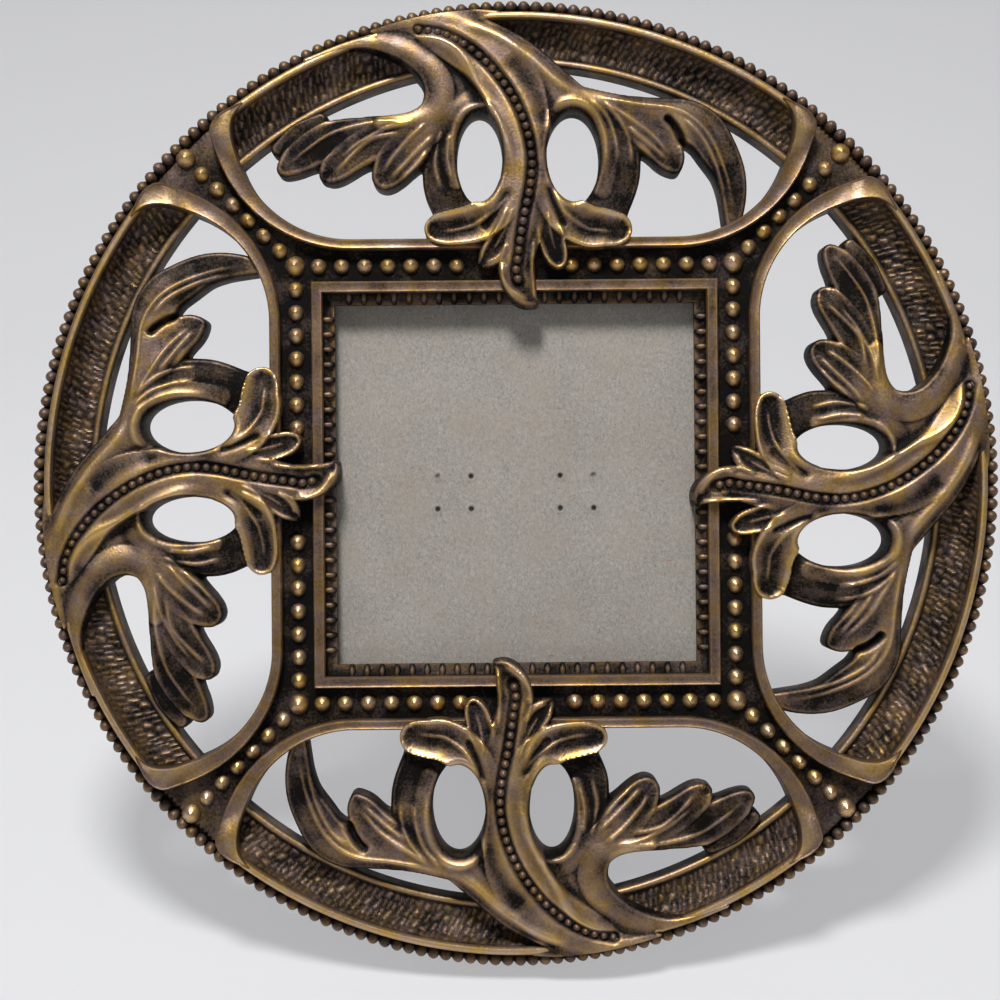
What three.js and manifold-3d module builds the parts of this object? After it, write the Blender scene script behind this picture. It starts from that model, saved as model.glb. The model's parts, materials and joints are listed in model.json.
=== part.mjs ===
// Round cast-metal picture frame with a square window, four openwork sprigs and an easel strut.
// Millimetres. The frame is drawn flat: x across, y up, z towards the viewer, z = 0 at the back of
// the casting. The finished picture is then leaned back until its strut stands on the floor.
import * as THREE from 'three';
import { mergeVertices } from 'three/addons/utils/BufferGeometryUtils.js';
import Module from 'manifold-3d';

const wasm = await Module();
wasm.setup();

// Stance
const LEAN = 24; // degrees that the frame leans back from upright
const STRUT_OPEN = 50; // degrees between the strut and the back of the frame

// Casting, seen from the front
const RIM_RADIUS = 100; // over the tips of the edge ribs
const RIB_COUNT = 240;
const RIB_DEPTH = 1.2; // from a rib's tip to the valley beside it
const RIB_REACH = 3.6; // from a rib's tip to the rim fillet
const BAND_WIDTH = 10; // rim fillet, cove and inner fillet together
const RIM_FILLET = 2;
const INNER_FILLET = 1.5;
const ARM_HALF = 8; // half width of a diagonal arm where it meets the rim
const SIGHT = 75; // clear side of the window
const STRIP_WIDTH = 2.2; // sloping strip round the window
const MOULDING_WIDTH = 2.3; // square moulding round the strip
const CHANNEL_WIDTH = 6.2; // sunk channel with the beads
const RIDGE_WIDTH = 1.8; // lunette border beside the channel
const RIDGE_END_WIDTH = 4.8; // the same border at the rim
const OPENING_CORNER = 24;
const RIDGE_CORNER = 29;
const RIDGE_ROUNDING = 0.7;
const BEAD_RADIUS = 1.55;
const CORNER_BEAD_RADIUS = 2.1;
const BEAD_PITCH = 4.75;
const BEADLESS_HALF = 11; // channel covered by a sprig, each side of its middle

// Casting, heights above its back
const GROUND = 5.5;
const STRIP_FRONT = 6.2;
const LIP_FRONT = 4.8;
const REBATE_DEPTH = 3.6;
const MOULDING_TOP = 7.6;
const RIDGE_TOP = 8.2;
const RIM_TOP = 9.4;
const COVE_FLOOR = 4;
const INNER_FILLET_TOP = 5.2;
const LEAF_BACK = 1.2;
const LEAF_ROLL = 1.6; // from a lobe's crown down to its edges

// Back panel
const CLEARANCE = 0.3; // between pieces that seat on each other
const LIP = 2.5; // how far the window's lip covers the glass
const GLASS_THICKNESS = 1.8;
const BOARD_THICKNESS = 2;
const FACING_THICKNESS = 0.4;

// Turn buttons and their screws
const BUTTON_RISE = 24; // above and below the middle of the window
const BUTTON_REACH = 9; // from the pivot to the centre of the rounded tip
const BUTTON_HALF_WIDTH = 3.2;
const BUTTON_THICKNESS = 1;
const BOSS_RADIUS = 3.8;
const SCREW_RADIUS = 1.2;
const SCREW_DEPTH = 3.2; // into the casting
const SCREW_HEAD_RADIUS = 2.6;
const SCREW_HEAD_HEIGHT = 1.3;
const SCREW_SLOT = 0.6;

// Strut and its pair of hinges
const HINGE_SPREAD = 25.6; // between the middles of the two hinges
const HINGE_Y = -9.6; // pin height, from the middle of the window
const LEAF_WIDTH = 11;
const LEAF_LENGTH = 13.6;
const LEAF_THICKNESS = 0.7;
const KNUCKLE_RADIUS = 2;
const KNUCKLE_WIDTH = 4; // middle knuckle
const PIN_RADIUS = 0.8;
const PIN_HEAD = 0.6; // pin standing out of each end
const STOP_ANGLE = 35; // degrees between the stop nose and the board, strut open
const STOP_THICKNESS = 0.7;
const STAPLE_SPAN = 7;
const STAPLE_WIRE = 0.7;
const STAPLE_NEAR = 4.4; // from the pin to the first staple
const STAPLE_MARGIN = 2.4; // from the second staple to the end of its leaf
const STRUT_TOP_WIDTH = 38;
const STRUT_FOOT_WIDTH = 40;
const STRUT_THICKNESS = 2.4;
const STRUT_HEAD_GAP = 0.6; // between the knuckles and the strut's top edge

// Sprig lobes, drawn on a lunette. Each row is a point of a lobe's spine: across, in hundredths of
// the rim radius; up, in hundredths of the way from the bead channel to the rim; half width, in
// hundredths of the rim radius; and the crown above the casting's back, in hundredths of the rim's.
const LOBES = {
  stem: [
    [-26.4, 94, 1.4, 102], [-14.7, 90.7, 4, 109], [-3.5, 76.3, 5.8, 116], [1.5, 53.5, 5.9, 121],
    [2.4, 40, 4.9, 121], [2.6, 22.4, 4.7, 118], [1.2, -2.7, 3.2, 104],
  ],
  tongue: [[2, 7.9, 3, 100], [0.6, -6.6, 3.6, 98], [0.5, -12.9, 4.3, 91], [2.2, -19.9, 1.8, 79]],
  leftShoulder: [
    [-42.1, 79.5, 0.9, 98], [-30.3, 86.7, 1.2, 102], [-19, 81.3, 2.4, 105], [-11.5, 68, 3.6, 109],
    [-8.5, 62.9, 3.4, 106],
  ],
  leftOuterLobe: [
    [-7.8, 63.9, 3, 102], [-15, 57.7, 2.6, 97], [-24, 51.7, 2.3, 90], [-41, 47.3, 5.2, 82],
    [-47.6, 39.4, 2.6, 74],
  ],
  leftMiddleLobe: [
    [-8.8, 60.8, 2.4, 104], [-19.5, 51.5, 2.6, 98], [-29.6, 41.5, 3.7, 89], [-34.6, 34.6, 3.5, 85],
    [-37.4, 31.5, 1.9, 79],
  ],
  leftInnerLobe: [
    [-8.5, 61.4, 2.4, 106], [-15.8, 50.6, 3, 102], [-23.2, 35.1, 4, 94], [-25.8, 29.5, 2.8, 87],
    [-26.8, 27, 1.5, 83],
  ],
  leftLimb: [[-9.5, 61.8, 2.6, 96], [-13.4, 49.4, 2.7, 89], [-14.8, 34.9, 3.4, 83], [-12.8, 16.2, 3.6, 79]],
  leftCurl: [
    [2.4, 34.9, 2, 106], [-1.2, 21.2, 3.4, 115], [-8, 11.4, 3.4, 113], [-14, 10.6, 3, 104],
    [-17.2, 12, 1.6, 95],
  ],
  leftLeaflet: [[1.4, 22.8, 2.2, 104], [-2.8, 11.2, 2.8, 104], [-6.2, -0.8, 2.7, 93], [-8.1, -7.1, 0.9, 83]],
  rightShoulder: [
    [-16.6, 95.6, 1.4, 102], [-4, 88, 3.3, 110], [5.4, 71.4, 4.4, 110], [13, 61.8, 3.2, 104],
    [20, 60.6, 1.7, 95],
  ],
  rightLimb: [[16, 58.9, 2.2, 96], [20.9, 48.5, 3, 90], [22.9, 33.8, 3.9, 83], [20.6, 16.2, 4, 79]],
  rightInnerLobe: [
    [14.5, 61.8, 2.4, 102], [23.5, 53.1, 3.3, 98], [31.8, 37.3, 3.9, 89], [33.9, 32.6, 2.3, 85],
    [34.8, 30.3, 1.2, 83],
  ],
  rightOuterLobe: [
    [13, 63.9, 2.2, 102], [24, 59.8, 2.1, 97], [35.4, 51.9, 4, 90], [41.6, 39.8, 4.3, 87],
    [45, 26.1, 2.5, 85], [45.6, 8.3, 1.9, 83],
  ],
  rightCurl: [
    [4.5, 36.9, 2, 106], [8.4, 20.3, 3.5, 115], [14.8, 10, 3.9, 113], [21, 10.4, 2.8, 104],
    [24.2, 12.9, 1.2, 95],
  ],
  rightLeaflet: [[5.2, 22.4, 2.2, 104], [6.8, 10, 2.9, 104], [8.8, -2.1, 2.8, 93], [10.8, -8.3, 0.9, 83]],
};
const ROUND_STEPS = 8; // sides of small round pieces
const ARC_STEPS = 6; // facets of a lunette's corner
const RIM_STEPS = 48;
const BEAD_SIDES = 5;
const WELD = 0.002; // corners nearer than this are one corner

// Sizes that follow from the ones above
const lean = THREE.MathUtils.degToRad(LEAN);
const strutOpen = THREE.MathUtils.degToRad(STRUT_OPEN);
const stopAngle = THREE.MathUtils.degToRad(STOP_ANGLE);
const bandOuter = RIM_RADIUS - RIB_REACH;
const bandInner = bandOuter - BAND_WIDTH;
const sightHalf = SIGHT / 2;
const mouldingInner = sightHalf + STRIP_WIDTH;
const mouldingOuter = mouldingInner + MOULDING_WIDTH;
const channelMiddle = mouldingOuter + CHANNEL_WIDTH / 2;
const channelOuter = mouldingOuter + CHANNEL_WIDTH;
const openingBottom = channelOuter + RIDGE_WIDTH;
const ridgeHalf = bandOuter * Math.sin(Math.PI / 4 - Math.asin(ARM_HALF / bandOuter));
const openingHalf = ridgeHalf - RIDGE_END_WIDTH;
const glassHalf = sightHalf + LIP;
const rebateHalf = glassHalf + CLEARANCE;
const glassBack = REBATE_DEPTH - CLEARANCE - GLASS_THICKNESS;
const boardFront = glassBack - CLEARANCE;
const boardBack = boardFront - BOARD_THICKNESS;
const facingFront = boardBack - CLEARANCE;
const facingBack = facingFront - FACING_THICKNESS;
const buttonFront = facingBack - CLEARANCE;
const buttonBack = buttonFront - BUTTON_THICKNESS;
const bossBack = buttonFront + CLEARANCE;
const buttonX = (rebateHalf + openingBottom) / 2;
const axisZ = facingBack - CLEARANCE - KNUCKLE_RADIUS;
const leafFront = KNUCKLE_RADIUS; // from here on, heights from the pin
const leafBack = leafFront - LEAF_THICKNESS;
const strutFront = leafBack - CLEARANCE;
const strutBack = strutFront - STRUT_THICKNESS;
const pinBore = PIN_RADIUS + CLEARANCE;
const stopReach = (KNUCKLE_RADIUS - (STOP_THICKNESS / 2) * Math.cos(stopAngle)) / Math.sin(stopAngle);
const legHole = STAPLE_WIRE + 2 * CLEARANCE;
const stapleRows = [STAPLE_NEAR, LEAF_LENGTH - STAPLE_MARGIN]; // from the pin
const strutTilt = strutOpen - lean; // strut from upright
const pinHeight = RIM_RADIUS * Math.cos(lean) + HINGE_Y * Math.cos(lean) + axisZ * Math.sin(lean);
const strutLength = pinHeight / Math.cos(strutTilt);

// A geometry with stray corners brought together and the triangles that this closes left out.
function weld(geometry) {
  const bare = geometry.clone();
  bare.deleteAttribute('normal');
  bare.deleteAttribute('uv');
  const merged = mergeVertices(bare, WELD);
  const kept = [];
  for (let i = 0; i < merged.index.count; i += 3) {
    const [a, b, c] = merged.index.array.slice(i, i + 3);
    if (a !== b && b !== c && c !== a) kept.push(a, b, c);
  }
  merged.setIndex(kept);
  return merged;
}

// A closed geometry as a solid that can be joined and cut, its faces turned outwards.
function solid(geometry) {
  const merged = weld(geometry);
  const points = new Float32Array(merged.attributes.position.array);
  const corner = (i) => new THREE.Vector3().fromArray(points, 3 * i);
  const triangles = Uint32Array.from(merged.index.array);
  let volume = 0;
  for (let i = 0; i < triangles.length; i += 3) {
    const [a, b, c] = [...triangles.slice(i, i + 3)].map(corner);
    volume += a.dot(b.cross(c));
  }
  const outward = volume < 0 ? triangles.reverse() : triangles;
  return new wasm.Manifold(new wasm.Mesh({ numProp: 3, vertProperties: points, triVerts: outward }));
}

function geometryOf(body) {
  const mesh = body.getMesh();
  const geometry = new THREE.BufferGeometry();
  geometry.setAttribute('position', new THREE.BufferAttribute(new Float32Array(mesh.vertProperties), 3));
  geometry.setIndex(new THREE.BufferAttribute(new Uint32Array(mesh.triVerts), 1));
  const welded = weld(geometry);
  welded.computeVertexNormals();
  return welded;
}

function join(geometries) {
  return geometries.map(solid).reduce((whole, piece) => whole.add(piece));
}

// A flat outline given its thickness between two heights.
function plate(shape, back, front) {
  const options = { depth: front - back, bevelEnabled: false, curveSegments: ARC_STEPS / 2 };
  return new THREE.ExtrudeGeometry(shape, options).translate(0, 0, back);
}

// A profile of [radius, height] points turned about z.
function turned(profile, steps, start = 0) {
  const points = profile.map(([radius, height]) => new THREE.Vector2(radius, height));
  return new THREE.LatheGeometry(points, steps, start).rotateX(Math.PI / 2);
}

function rectangle(x0, y0, x1, y1) {
  const corners = [[x0, y0], [x1, y0], [x1, y1], [x0, y1]];
  return new THREE.Shape(corners.map(([x, y]) => new THREE.Vector2(x, y)));
}

function turnPoints(points, quarter) {
  const angle = (quarter * Math.PI) / 2;
  return points.map((point) => point.clone().rotateAround(new THREE.Vector2(), angle));
}

const QUARTERS = [0, 1, 2, 3];

// Round bead of a moulding's section, from one foot over the top to the other.
function halfRound(inner, outer, foot, top) {
  const steps = 3;
  const middle = (inner + outer) / 2;
  return Array.from({ length: steps + 1 }, (_, k) => {
    const angle = Math.PI - (k * Math.PI) / steps;
    return [middle + ((outer - inner) / 2) * Math.cos(angle), foot + (top - foot) * Math.sin(angle)];
  });
}

// Cup-shaped side of a lunette: down from the rim, round two corners and up to the rim again.
function cupPoints(half, bottom, corner, reach) {
  const rise = Math.sqrt(reach * reach - half * half);
  const radius = Math.min(corner, rise - bottom);
  const path = new THREE.Path();
  path.moveTo(-half, rise);
  path.lineTo(-half, bottom + radius);
  path.absarc(-half + radius, bottom + radius, radius, Math.PI, 1.5 * Math.PI);
  path.lineTo(half - radius, bottom);
  path.absarc(half - radius, bottom + radius, radius, 1.5 * Math.PI, 2 * Math.PI);
  path.lineTo(half, rise);
  return path.getPoints(ARC_STEPS / 2);
}

// The cup closed by an arc of the rim.
function lunettePoints(half, bottom, corner, reach) {
  const start = Math.acos(half / reach);
  const arc = new THREE.Path().absarc(0, 0, reach, start, Math.PI - start).getPoints(ARC_STEPS);
  return [...cupPoints(half, bottom, corner, reach), ...arc.slice(1, -1)];
}

// Ground of the casting: a disc with a ribbed edge, open at the lunettes and behind the bezel.
function groundPlate() {
  const edge = [];
  for (let k = 0; k < 2 * RIB_COUNT; k += 1) {
    const angle = (k * Math.PI) / RIB_COUNT - Math.PI / 2;
    const radius = k % 2 === 0 ? RIM_RADIUS : RIM_RADIUS - RIB_DEPTH;
    edge.push(new THREE.Vector2(radius * Math.cos(angle), radius * Math.sin(angle)));
  }
  const opening = lunettePoints(openingHalf, openingBottom, OPENING_CORNER, bandOuter - RIM_FILLET / 2);
  const behind = (mouldingInner + mouldingOuter) / 2;
  const cuts = QUARTERS.map((quarter) => new THREE.Shape(turnPoints(opening, quarter)));
  cuts.push(rectangle(-behind, -behind, behind, behind));
  const cutters = join(cuts.map((shape) => plate(shape, -GROUND, 2 * GROUND)));
  return solid(plate(new THREE.Shape(edge), 0, GROUND)).subtract(cutters);
}

// Rim fillet, cove and inner fillet, which run inside the lunettes only.
function rimBands() {
  const cove = new THREE.QuadraticBezierCurve(
    new THREE.Vector2(bandInner + INNER_FILLET, COVE_FLOOR),
    new THREE.Vector2(bandOuter - RIM_FILLET, COVE_FLOOR),
    new THREE.Vector2(bandOuter - RIM_FILLET, RIM_TOP - RIM_FILLET / 2),
  ).getPoints(2).map((point) => [point.x, point.y]);
  const profile = [
    [bandInner, 0],
    ...halfRound(bandInner, bandInner + INNER_FILLET, COVE_FLOOR, INNER_FILLET_TOP).slice(0, -1),
    ...cove,
    ...halfRound(bandOuter - RIM_FILLET, bandOuter, RIM_TOP - RIM_FILLET / 2, RIM_TOP).slice(1),
    [bandOuter, 0],
    [bandInner, 0],
  ];
  const half = openingHalf + RIDGE_END_WIDTH / 2;
  const bottom = openingBottom - RIDGE_WIDTH / 2;
  const within = lunettePoints(half, bottom, (OPENING_CORNER + RIDGE_CORNER) / 2, RIM_RADIUS);
  const blocks = QUARTERS.map((quarter) => plate(new THREE.Shape(turnPoints(within, quarter)), 0, RIM_TOP));
  return solid(turned(profile, RIM_STEPS)).intersect(join(blocks));
}

// Raised border of one lunette, narrow beside the window and wide at the rim.
function lunetteRidge(quarter) {
  const reach = bandOuter - RIM_FILLET / 2;
  const outer = cupPoints(ridgeHalf, channelOuter, RIDGE_CORNER, reach);
  const inner = cupPoints(openingHalf, openingBottom, OPENING_CORNER, reach);
  const shape = new THREE.Shape(turnPoints([...outer, ...inner.reverse()], quarter));
  const options = {
    depth: RIDGE_TOP - RIDGE_ROUNDING,
    bevelThickness: RIDGE_ROUNDING,
    bevelSize: RIDGE_ROUNDING,
    bevelOffset: -RIDGE_ROUNDING,
    bevelSegments: 1,
  };
  const rounded = solid(new THREE.ExtrudeGeometry(shape, options));
  const below = new THREE.BoxGeometry(2 * RIM_RADIUS, 2 * RIM_RADIUS, GROUND).translate(0, 0, -GROUND / 2);
  return rounded.subtract(solid(below)).add(solid(plate(shape, 0, GROUND)));
}

// Sloping strip, square moulding and rebate round the window: one section, mitred at four corners.
function bezel() {
  const profile = [
    [sightHalf, REBATE_DEPTH],
    [sightHalf, LIP_FRONT],
    [mouldingInner, STRIP_FRONT],
    ...halfRound(mouldingInner, mouldingOuter, STRIP_FRONT, MOULDING_TOP).slice(1, -1),
    [mouldingOuter, STRIP_FRONT],
    [mouldingOuter, 0],
    [rebateHalf, 0],
    [rebateHalf, REBATE_DEPTH],
    [sightHalf, REBATE_DEPTH],
  ];
  const toCorner = profile.map(([half, height]) => [half * Math.SQRT2, height]);
  return turned(toCorner, 4, Math.PI / 4);
}

// Beads along the channel's four sides and out along the diagonal arms.
function beads() {
  const places = [];
  const alongSide = Math.floor((channelMiddle - BEADLESS_HALF) / BEAD_PITCH);
  const cornerReach = channelMiddle * Math.SQRT2;
  const rimReach = RIM_RADIUS - RIB_REACH - CORNER_BEAD_RADIUS / 2;
  const alongArm = Math.round((rimReach - cornerReach) / BEAD_PITCH);
  QUARTERS.forEach((quarter) => {
    const row = [];
    for (let k = 1; k <= alongSide; k += 1) {
      const x = channelMiddle - k * BEAD_PITCH;
      row.push([x, channelMiddle, BEAD_RADIUS], [-x, channelMiddle, BEAD_RADIUS]);
    }
    for (let k = 0; k <= alongArm; k += 1) {
      const reach = cornerReach + ((rimReach - cornerReach) * k) / alongArm;
      const end = k === 0 || k === alongArm;
      row.push([reach / Math.SQRT2, reach / Math.SQRT2, end ? CORNER_BEAD_RADIUS : BEAD_RADIUS]);
    }
    row.forEach(([x, y, radius]) => {
      const [centre] = turnPoints([new THREE.Vector2(x, y)], quarter);
      places.push([centre.x, centre.y, radius]);
    });
  });
  return places.map(([x, y, radius]) =>
    new THREE.SphereGeometry(radius, BEAD_SIDES, 3).rotateX(Math.PI / 2).translate(x, y, GROUND));
}

// Closed skin over a row of rings with the same number of points, with a flat fan over each end.
function loft(rings) {
  const size = rings[0].length;
  const last = size * (rings.length - 1);
  const index = [];
  for (let a = 0; a < last; a += 1) {
    const b = a % size === size - 1 ? a + 1 - size : a + 1;
    index.push(a, b, a + size, b, b + size, a + size);
  }
  for (let k = 1; k < size - 1; k += 1) {
    index.push(0, k + 1, k, last, last + k, last + k + 1);
  }
  const geometry = new THREE.BufferGeometry();
  geometry.setAttribute('position', new THREE.Float32BufferAttribute(rings.flat(2), 3));
  geometry.setIndex(index);
  return geometry;
}

// One lobe of a sprig: a crowned section carried along its spine.
function lobe(rows) {
  const unit = RIM_RADIUS / 100;
  const climb = (bandOuter - channelOuter) / 100;
  const spine = new THREE.SplineCurve(rows.map(([across, up]) =>
    new THREE.Vector2(across * unit, channelOuter + up * climb)));
  const rise = RIM_TOP / 100;
  const size = new THREE.SplineCurve(rows.map(([, , half, top]) =>
    new THREE.Vector2(half * unit, top * rise)));
  const steps = rows.length - 1;
  const rings = [];
  for (let k = 0; k <= steps; k += 1) {
    const point = spine.getPoint(k / steps);
    const along = spine.getTangent(k / steps);
    const { x: half, y: top } = size.getPoint(k / steps);
    const edge = top - LEAF_ROLL;
    const section = [[-1, LEAF_BACK], [-1, edge], [0, top], [1, edge], [1, LEAF_BACK]];
    rings.push(section.map(([side, height]) =>
      [point.x - along.y * half * side, point.y + along.x * half * side, height]));
  }
  return loft(rings);
}

function sprig() {
  return join(Object.values(LOBES).map(lobe));
}

// Corners where a turn button sits, as [name, sign of x, sign of y].
const CORNERS = [
  ['upper_left', -1, 1], ['upper_right', 1, 1], ['lower_left', -1, -1], ['lower_right', 1, -1],
];

function frameCasting() {
  const oneSprig = sprig();
  let casting = groundPlate().add(rimBands()).add(solid(bezel()));
  QUARTERS.forEach((quarter) => {
    casting = casting.add(lunetteRidge(quarter)).add(oneSprig.rotate([0, 0, 90 * quarter]));
  });
  const rebate = rectangle(-rebateHalf, -rebateHalf, rebateHalf, rebateHalf);
  casting = casting.add(join(beads())).subtract(solid(plate(rebate, -GROUND, REBATE_DEPTH)));
  CORNERS.forEach(([, sideX, sideY]) => {
    const boss = new THREE.CylinderGeometry(BOSS_RADIUS, BOSS_RADIUS, GROUND / 2 - bossBack, ROUND_STEPS);
    const drill = SCREW_RADIUS + CLEARANCE;
    const bore = SCREW_DEPTH + CLEARANCE - 2 * bossBack;
    const hole = new THREE.CylinderGeometry(drill, drill, bore, ROUND_STEPS);
    const [x, y] = [sideX * buttonX, sideY * BUTTON_RISE];
    boss.rotateX(Math.PI / 2).translate(x, y, (GROUND / 2 + bossBack) / 2);
    hole.rotateX(Math.PI / 2).translate(x, y, (SCREW_DEPTH + CLEARANCE + 2 * bossBack) / 2);
    casting = casting.add(solid(boss)).subtract(solid(hole));
  });
  return geometryOf(casting);
}

// Legs of every board staple, as [x, y] on the back panel.
function boardLegs() {
  return [-1, 1].flatMap((side) => stapleRows.flatMap((row) => [-1, 1].map((leg) =>
    [(side * HINGE_SPREAD + leg * STAPLE_SPAN) / 2, HINGE_Y + row])));
}

// A sheet between two heights, pierced for staple legs.
function piercedSheet(shape, back, front, legs) {
  const drill = new THREE.BoxGeometry(legHole, legHole, 3 * (front - back));
  const holes = legs.map(([x, y]) => drill.clone().translate(x, y, (front + back) / 2));
  return solid(plate(shape, back, front)).subtract(join(holes));
}

function backSheet(back, front) {
  const outline = rectangle(-glassHalf, -glassHalf, glassHalf, glassHalf);
  return geometryOf(piercedSheet(outline, back, front, boardLegs()));
}

// Staple with its crown at the back and two legs that reach forward.
function staple(crownFront, tip) {
  const outside = (STAPLE_SPAN + STAPLE_WIRE) / 2;
  const inside = (STAPLE_SPAN - STAPLE_WIRE) / 2;
  const crownBack = crownFront - STAPLE_WIRE;
  const outline = [
    [-outside, crownBack], [outside, crownBack], [outside, tip], [inside, tip],
    [inside, crownFront], [-inside, crownFront], [-inside, tip], [-outside, tip],
  ].map(([x, y]) => new THREE.Vector2(x, y));
  return plate(new THREE.Shape(outline), -STAPLE_WIRE / 2, STAPLE_WIRE / 2).rotateX(Math.PI / 2);
}

// Tube of one hinge knuckle along x.
function knuckle(x0, x1) {
  const ring = new THREE.Shape().absarc(0, 0, KNUCKLE_RADIUS, 0, 2 * Math.PI);
  ring.holes.push(new THREE.Path().absarc(0, 0, pinBore, 0, 2 * Math.PI, true));
  const options = { depth: x1 - x0, bevelEnabled: false, curveSegments: ROUND_STEPS / 2 };
  return new THREE.ExtrudeGeometry(ring, options).rotateY(Math.PI / 2).translate(x0, 0, 0);
}

// Leg holes of one leaf, as [x, y] from the middle of its pin.
function leafLegs(direction) {
  return stapleRows.flatMap((row) => [-1, 1].map((leg) => [(leg * STAPLE_SPAN) / 2, direction * row]));
}

function fixedLeaf() {
  const half = LEAF_WIDTH / 2;
  const notch = KNUCKLE_WIDTH / 2 + CLEARANCE;
  const notchTop = stopReach + 2 * CLEARANCE;
  const outline = [
    [-half, 0], [-notch, 0], [-notch, notchTop], [notch, notchTop],
    [notch, 0], [half, 0], [half, LEAF_LENGTH], [-half, LEAF_LENGTH],
  ].map(([x, y]) => new THREE.Vector2(x, y));
  const sheet = piercedSheet(new THREE.Shape(outline), leafBack, leafFront, leafLegs(1));
  return geometryOf(sheet.add(join([knuckle(-half, -notch), knuckle(notch, half)])));
}

// Leaf on the strut, drawn with the strut folded. Its nose meets the board when the strut is open.
function movingLeaf() {
  const half = LEAF_WIDTH / 2;
  const middle = KNUCKLE_WIDTH / 2;
  const clear = KNUCKLE_RADIUS + CLEARANCE;
  const outline = [
    [-half, -clear], [-half, -LEAF_LENGTH], [half, -LEAF_LENGTH], [half, -clear],
    [middle, -clear], [middle, 0], [-middle, 0], [-middle, -clear],
  ].map(([x, y]) => new THREE.Vector2(x, y));
  const sheet = piercedSheet(new THREE.Shape(outline), leafBack, leafFront, leafLegs(-1));
  const noseStart = (pinBore + KNUCKLE_RADIUS) / 2;
  const nose = new THREE.BoxGeometry(KNUCKLE_WIDTH, stopReach - noseStart, STOP_THICKNESS);
  nose.translate(0, (stopReach + noseStart) / 2, 0).rotateX(stopAngle - strutOpen);
  return geometryOf(sheet.add(join([knuckle(-middle, middle), nose])));
}

function hingePin() {
  const half = LEAF_WIDTH / 2;
  const profile = [
    [0, -half - PIN_HEAD], [PIN_RADIUS / 2, -half - PIN_HEAD], [PIN_RADIUS, -half],
    [PIN_RADIUS, half], [PIN_RADIUS / 2, half + PIN_HEAD], [0, half + PIN_HEAD],
  ];
  return geometryOf(solid(turned(profile, ROUND_STEPS).rotateY(Math.PI / 2)));
}

// Strut board, drawn folded: it widens towards the foot, which is cut to stand flat on the floor.
function strutBoard() {
  const top = -(KNUCKLE_RADIUS + STRUT_HEAD_GAP);
  const past = -(strutLength + STRUT_FOOT_WIDTH / 4);
  const slope = (STRUT_FOOT_WIDTH - STRUT_TOP_WIDTH) / 2 / (strutLength + top);
  const topHalf = STRUT_TOP_WIDTH / 2;
  const pastHalf = topHalf + slope * (top - past);
  const outline = [[-topHalf, top], [-pastHalf, past], [pastHalf, past], [topHalf, top]];
  const shape = new THREE.Shape(outline.map(([x, y]) => new THREE.Vector2(x, y)));
  const legs = [-1, 1].flatMap((side) => leafLegs(-1).map(([x, y]) => [x + (side * HINGE_SPREAD) / 2, y]));
  const board = piercedSheet(shape, strutBack, strutFront, legs);
  const floor = new THREE.BoxGeometry(2 * STRUT_FOOT_WIDTH, strutLength, 4 * strutLength);
  floor.translate(0, -pinHeight - strutLength / 2, 0).rotateX(-strutTilt);
  return geometryOf(board.subtract(solid(floor)));
}

// Oblong button, drawn with its pivot at the origin and its tip along x.
function turnButton() {
  const shape = new THREE.Shape();
  shape.absarc(BUTTON_REACH, 0, BUTTON_HALF_WIDTH, -Math.PI / 2, Math.PI / 2);
  shape.absarc(0, 0, BUTTON_HALF_WIDTH, Math.PI / 2, 1.5 * Math.PI);
  const hole = new THREE.Path().absarc(0, 0, SCREW_RADIUS + CLEARANCE, 0, 2 * Math.PI, true);
  shape.holes.push(hole);
  return plate(shape, buttonBack, buttonFront);
}

function buttonScrew() {
  const under = buttonBack - CLEARANCE;
  const back = under - SCREW_HEAD_HEIGHT;
  const profile = [
    [0, back], [SCREW_HEAD_RADIUS / 2, back], [SCREW_HEAD_RADIUS, under - SCREW_HEAD_HEIGHT / 2],
    [SCREW_HEAD_RADIUS, under], [SCREW_RADIUS, under], [SCREW_RADIUS, SCREW_DEPTH - SCREW_RADIUS],
    [0, SCREW_DEPTH],
  ];
  const slot = new THREE.BoxGeometry(3 * SCREW_HEAD_RADIUS, SCREW_SLOT, SCREW_HEAD_HEIGHT);
  slot.translate(0, 0, back);
  return geometryOf(solid(turned(profile, ROUND_STEPS)).subtract(solid(slot)));
}

const bronze = new THREE.MeshStandardMaterial({ color: 0x7d6440, roughness: 0.45, metalness: 0.9 });
const glass = new THREE.MeshStandardMaterial({
  color: 0xe4ece8, roughness: 0.05, metalness: 0, transparent: true, opacity: 0.3,
});
const greyBoard = new THREE.MeshStandardMaterial({ color: 0x96948a, roughness: 0.95, metalness: 0 });
const blackPaper = new THREE.MeshStandardMaterial({ color: 0x1e1d1c, roughness: 0.9, metalness: 0 });
const brassedSteel = new THREE.MeshStandardMaterial({ color: 0xb09a5c, roughness: 0.35, metalness: 1 });
const brightWire = new THREE.MeshStandardMaterial({ color: 0xb4b4ae, roughness: 0.35, metalness: 1 });

function piece(name, geometry, material, parent) {
  const mesh = new THREE.Mesh(geometry, material);
  mesh.name = name;
  parent.add(mesh);
  return mesh;
}

// Casting with its glass and back panel.
function addPanel(picture) {
  const square = rectangle(-glassHalf, -glassHalf, glassHalf, glassHalf);
  const pane = plate(square, glassBack, glassBack + GLASS_THICKNESS);
  piece('frame_casting', frameCasting(), bronze, picture);
  piece('glass_pane', pane, glass, picture);
  piece('backing_board', backSheet(boardBack, boardFront), greyBoard, picture);
  piece('rear_facing', backSheet(facingBack, facingFront), blackPaper, picture);
}

function addButtons(picture) {
  CORNERS.forEach(([corner, sideX, sideY]) => {
    const seat = new THREE.Group();
    seat.position.set(sideX * buttonX, sideY * BUTTON_RISE, 0);
    picture.add(seat);
    const button = piece(`turn_button_${corner}`, turnButton(), brassedSteel, seat);
    button.rotation.z = sideX > 0 ? Math.PI : 0;
    piece(`turn_button_screw_${corner}`, buttonScrew(), brassedSteel, seat);
  });
}

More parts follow.
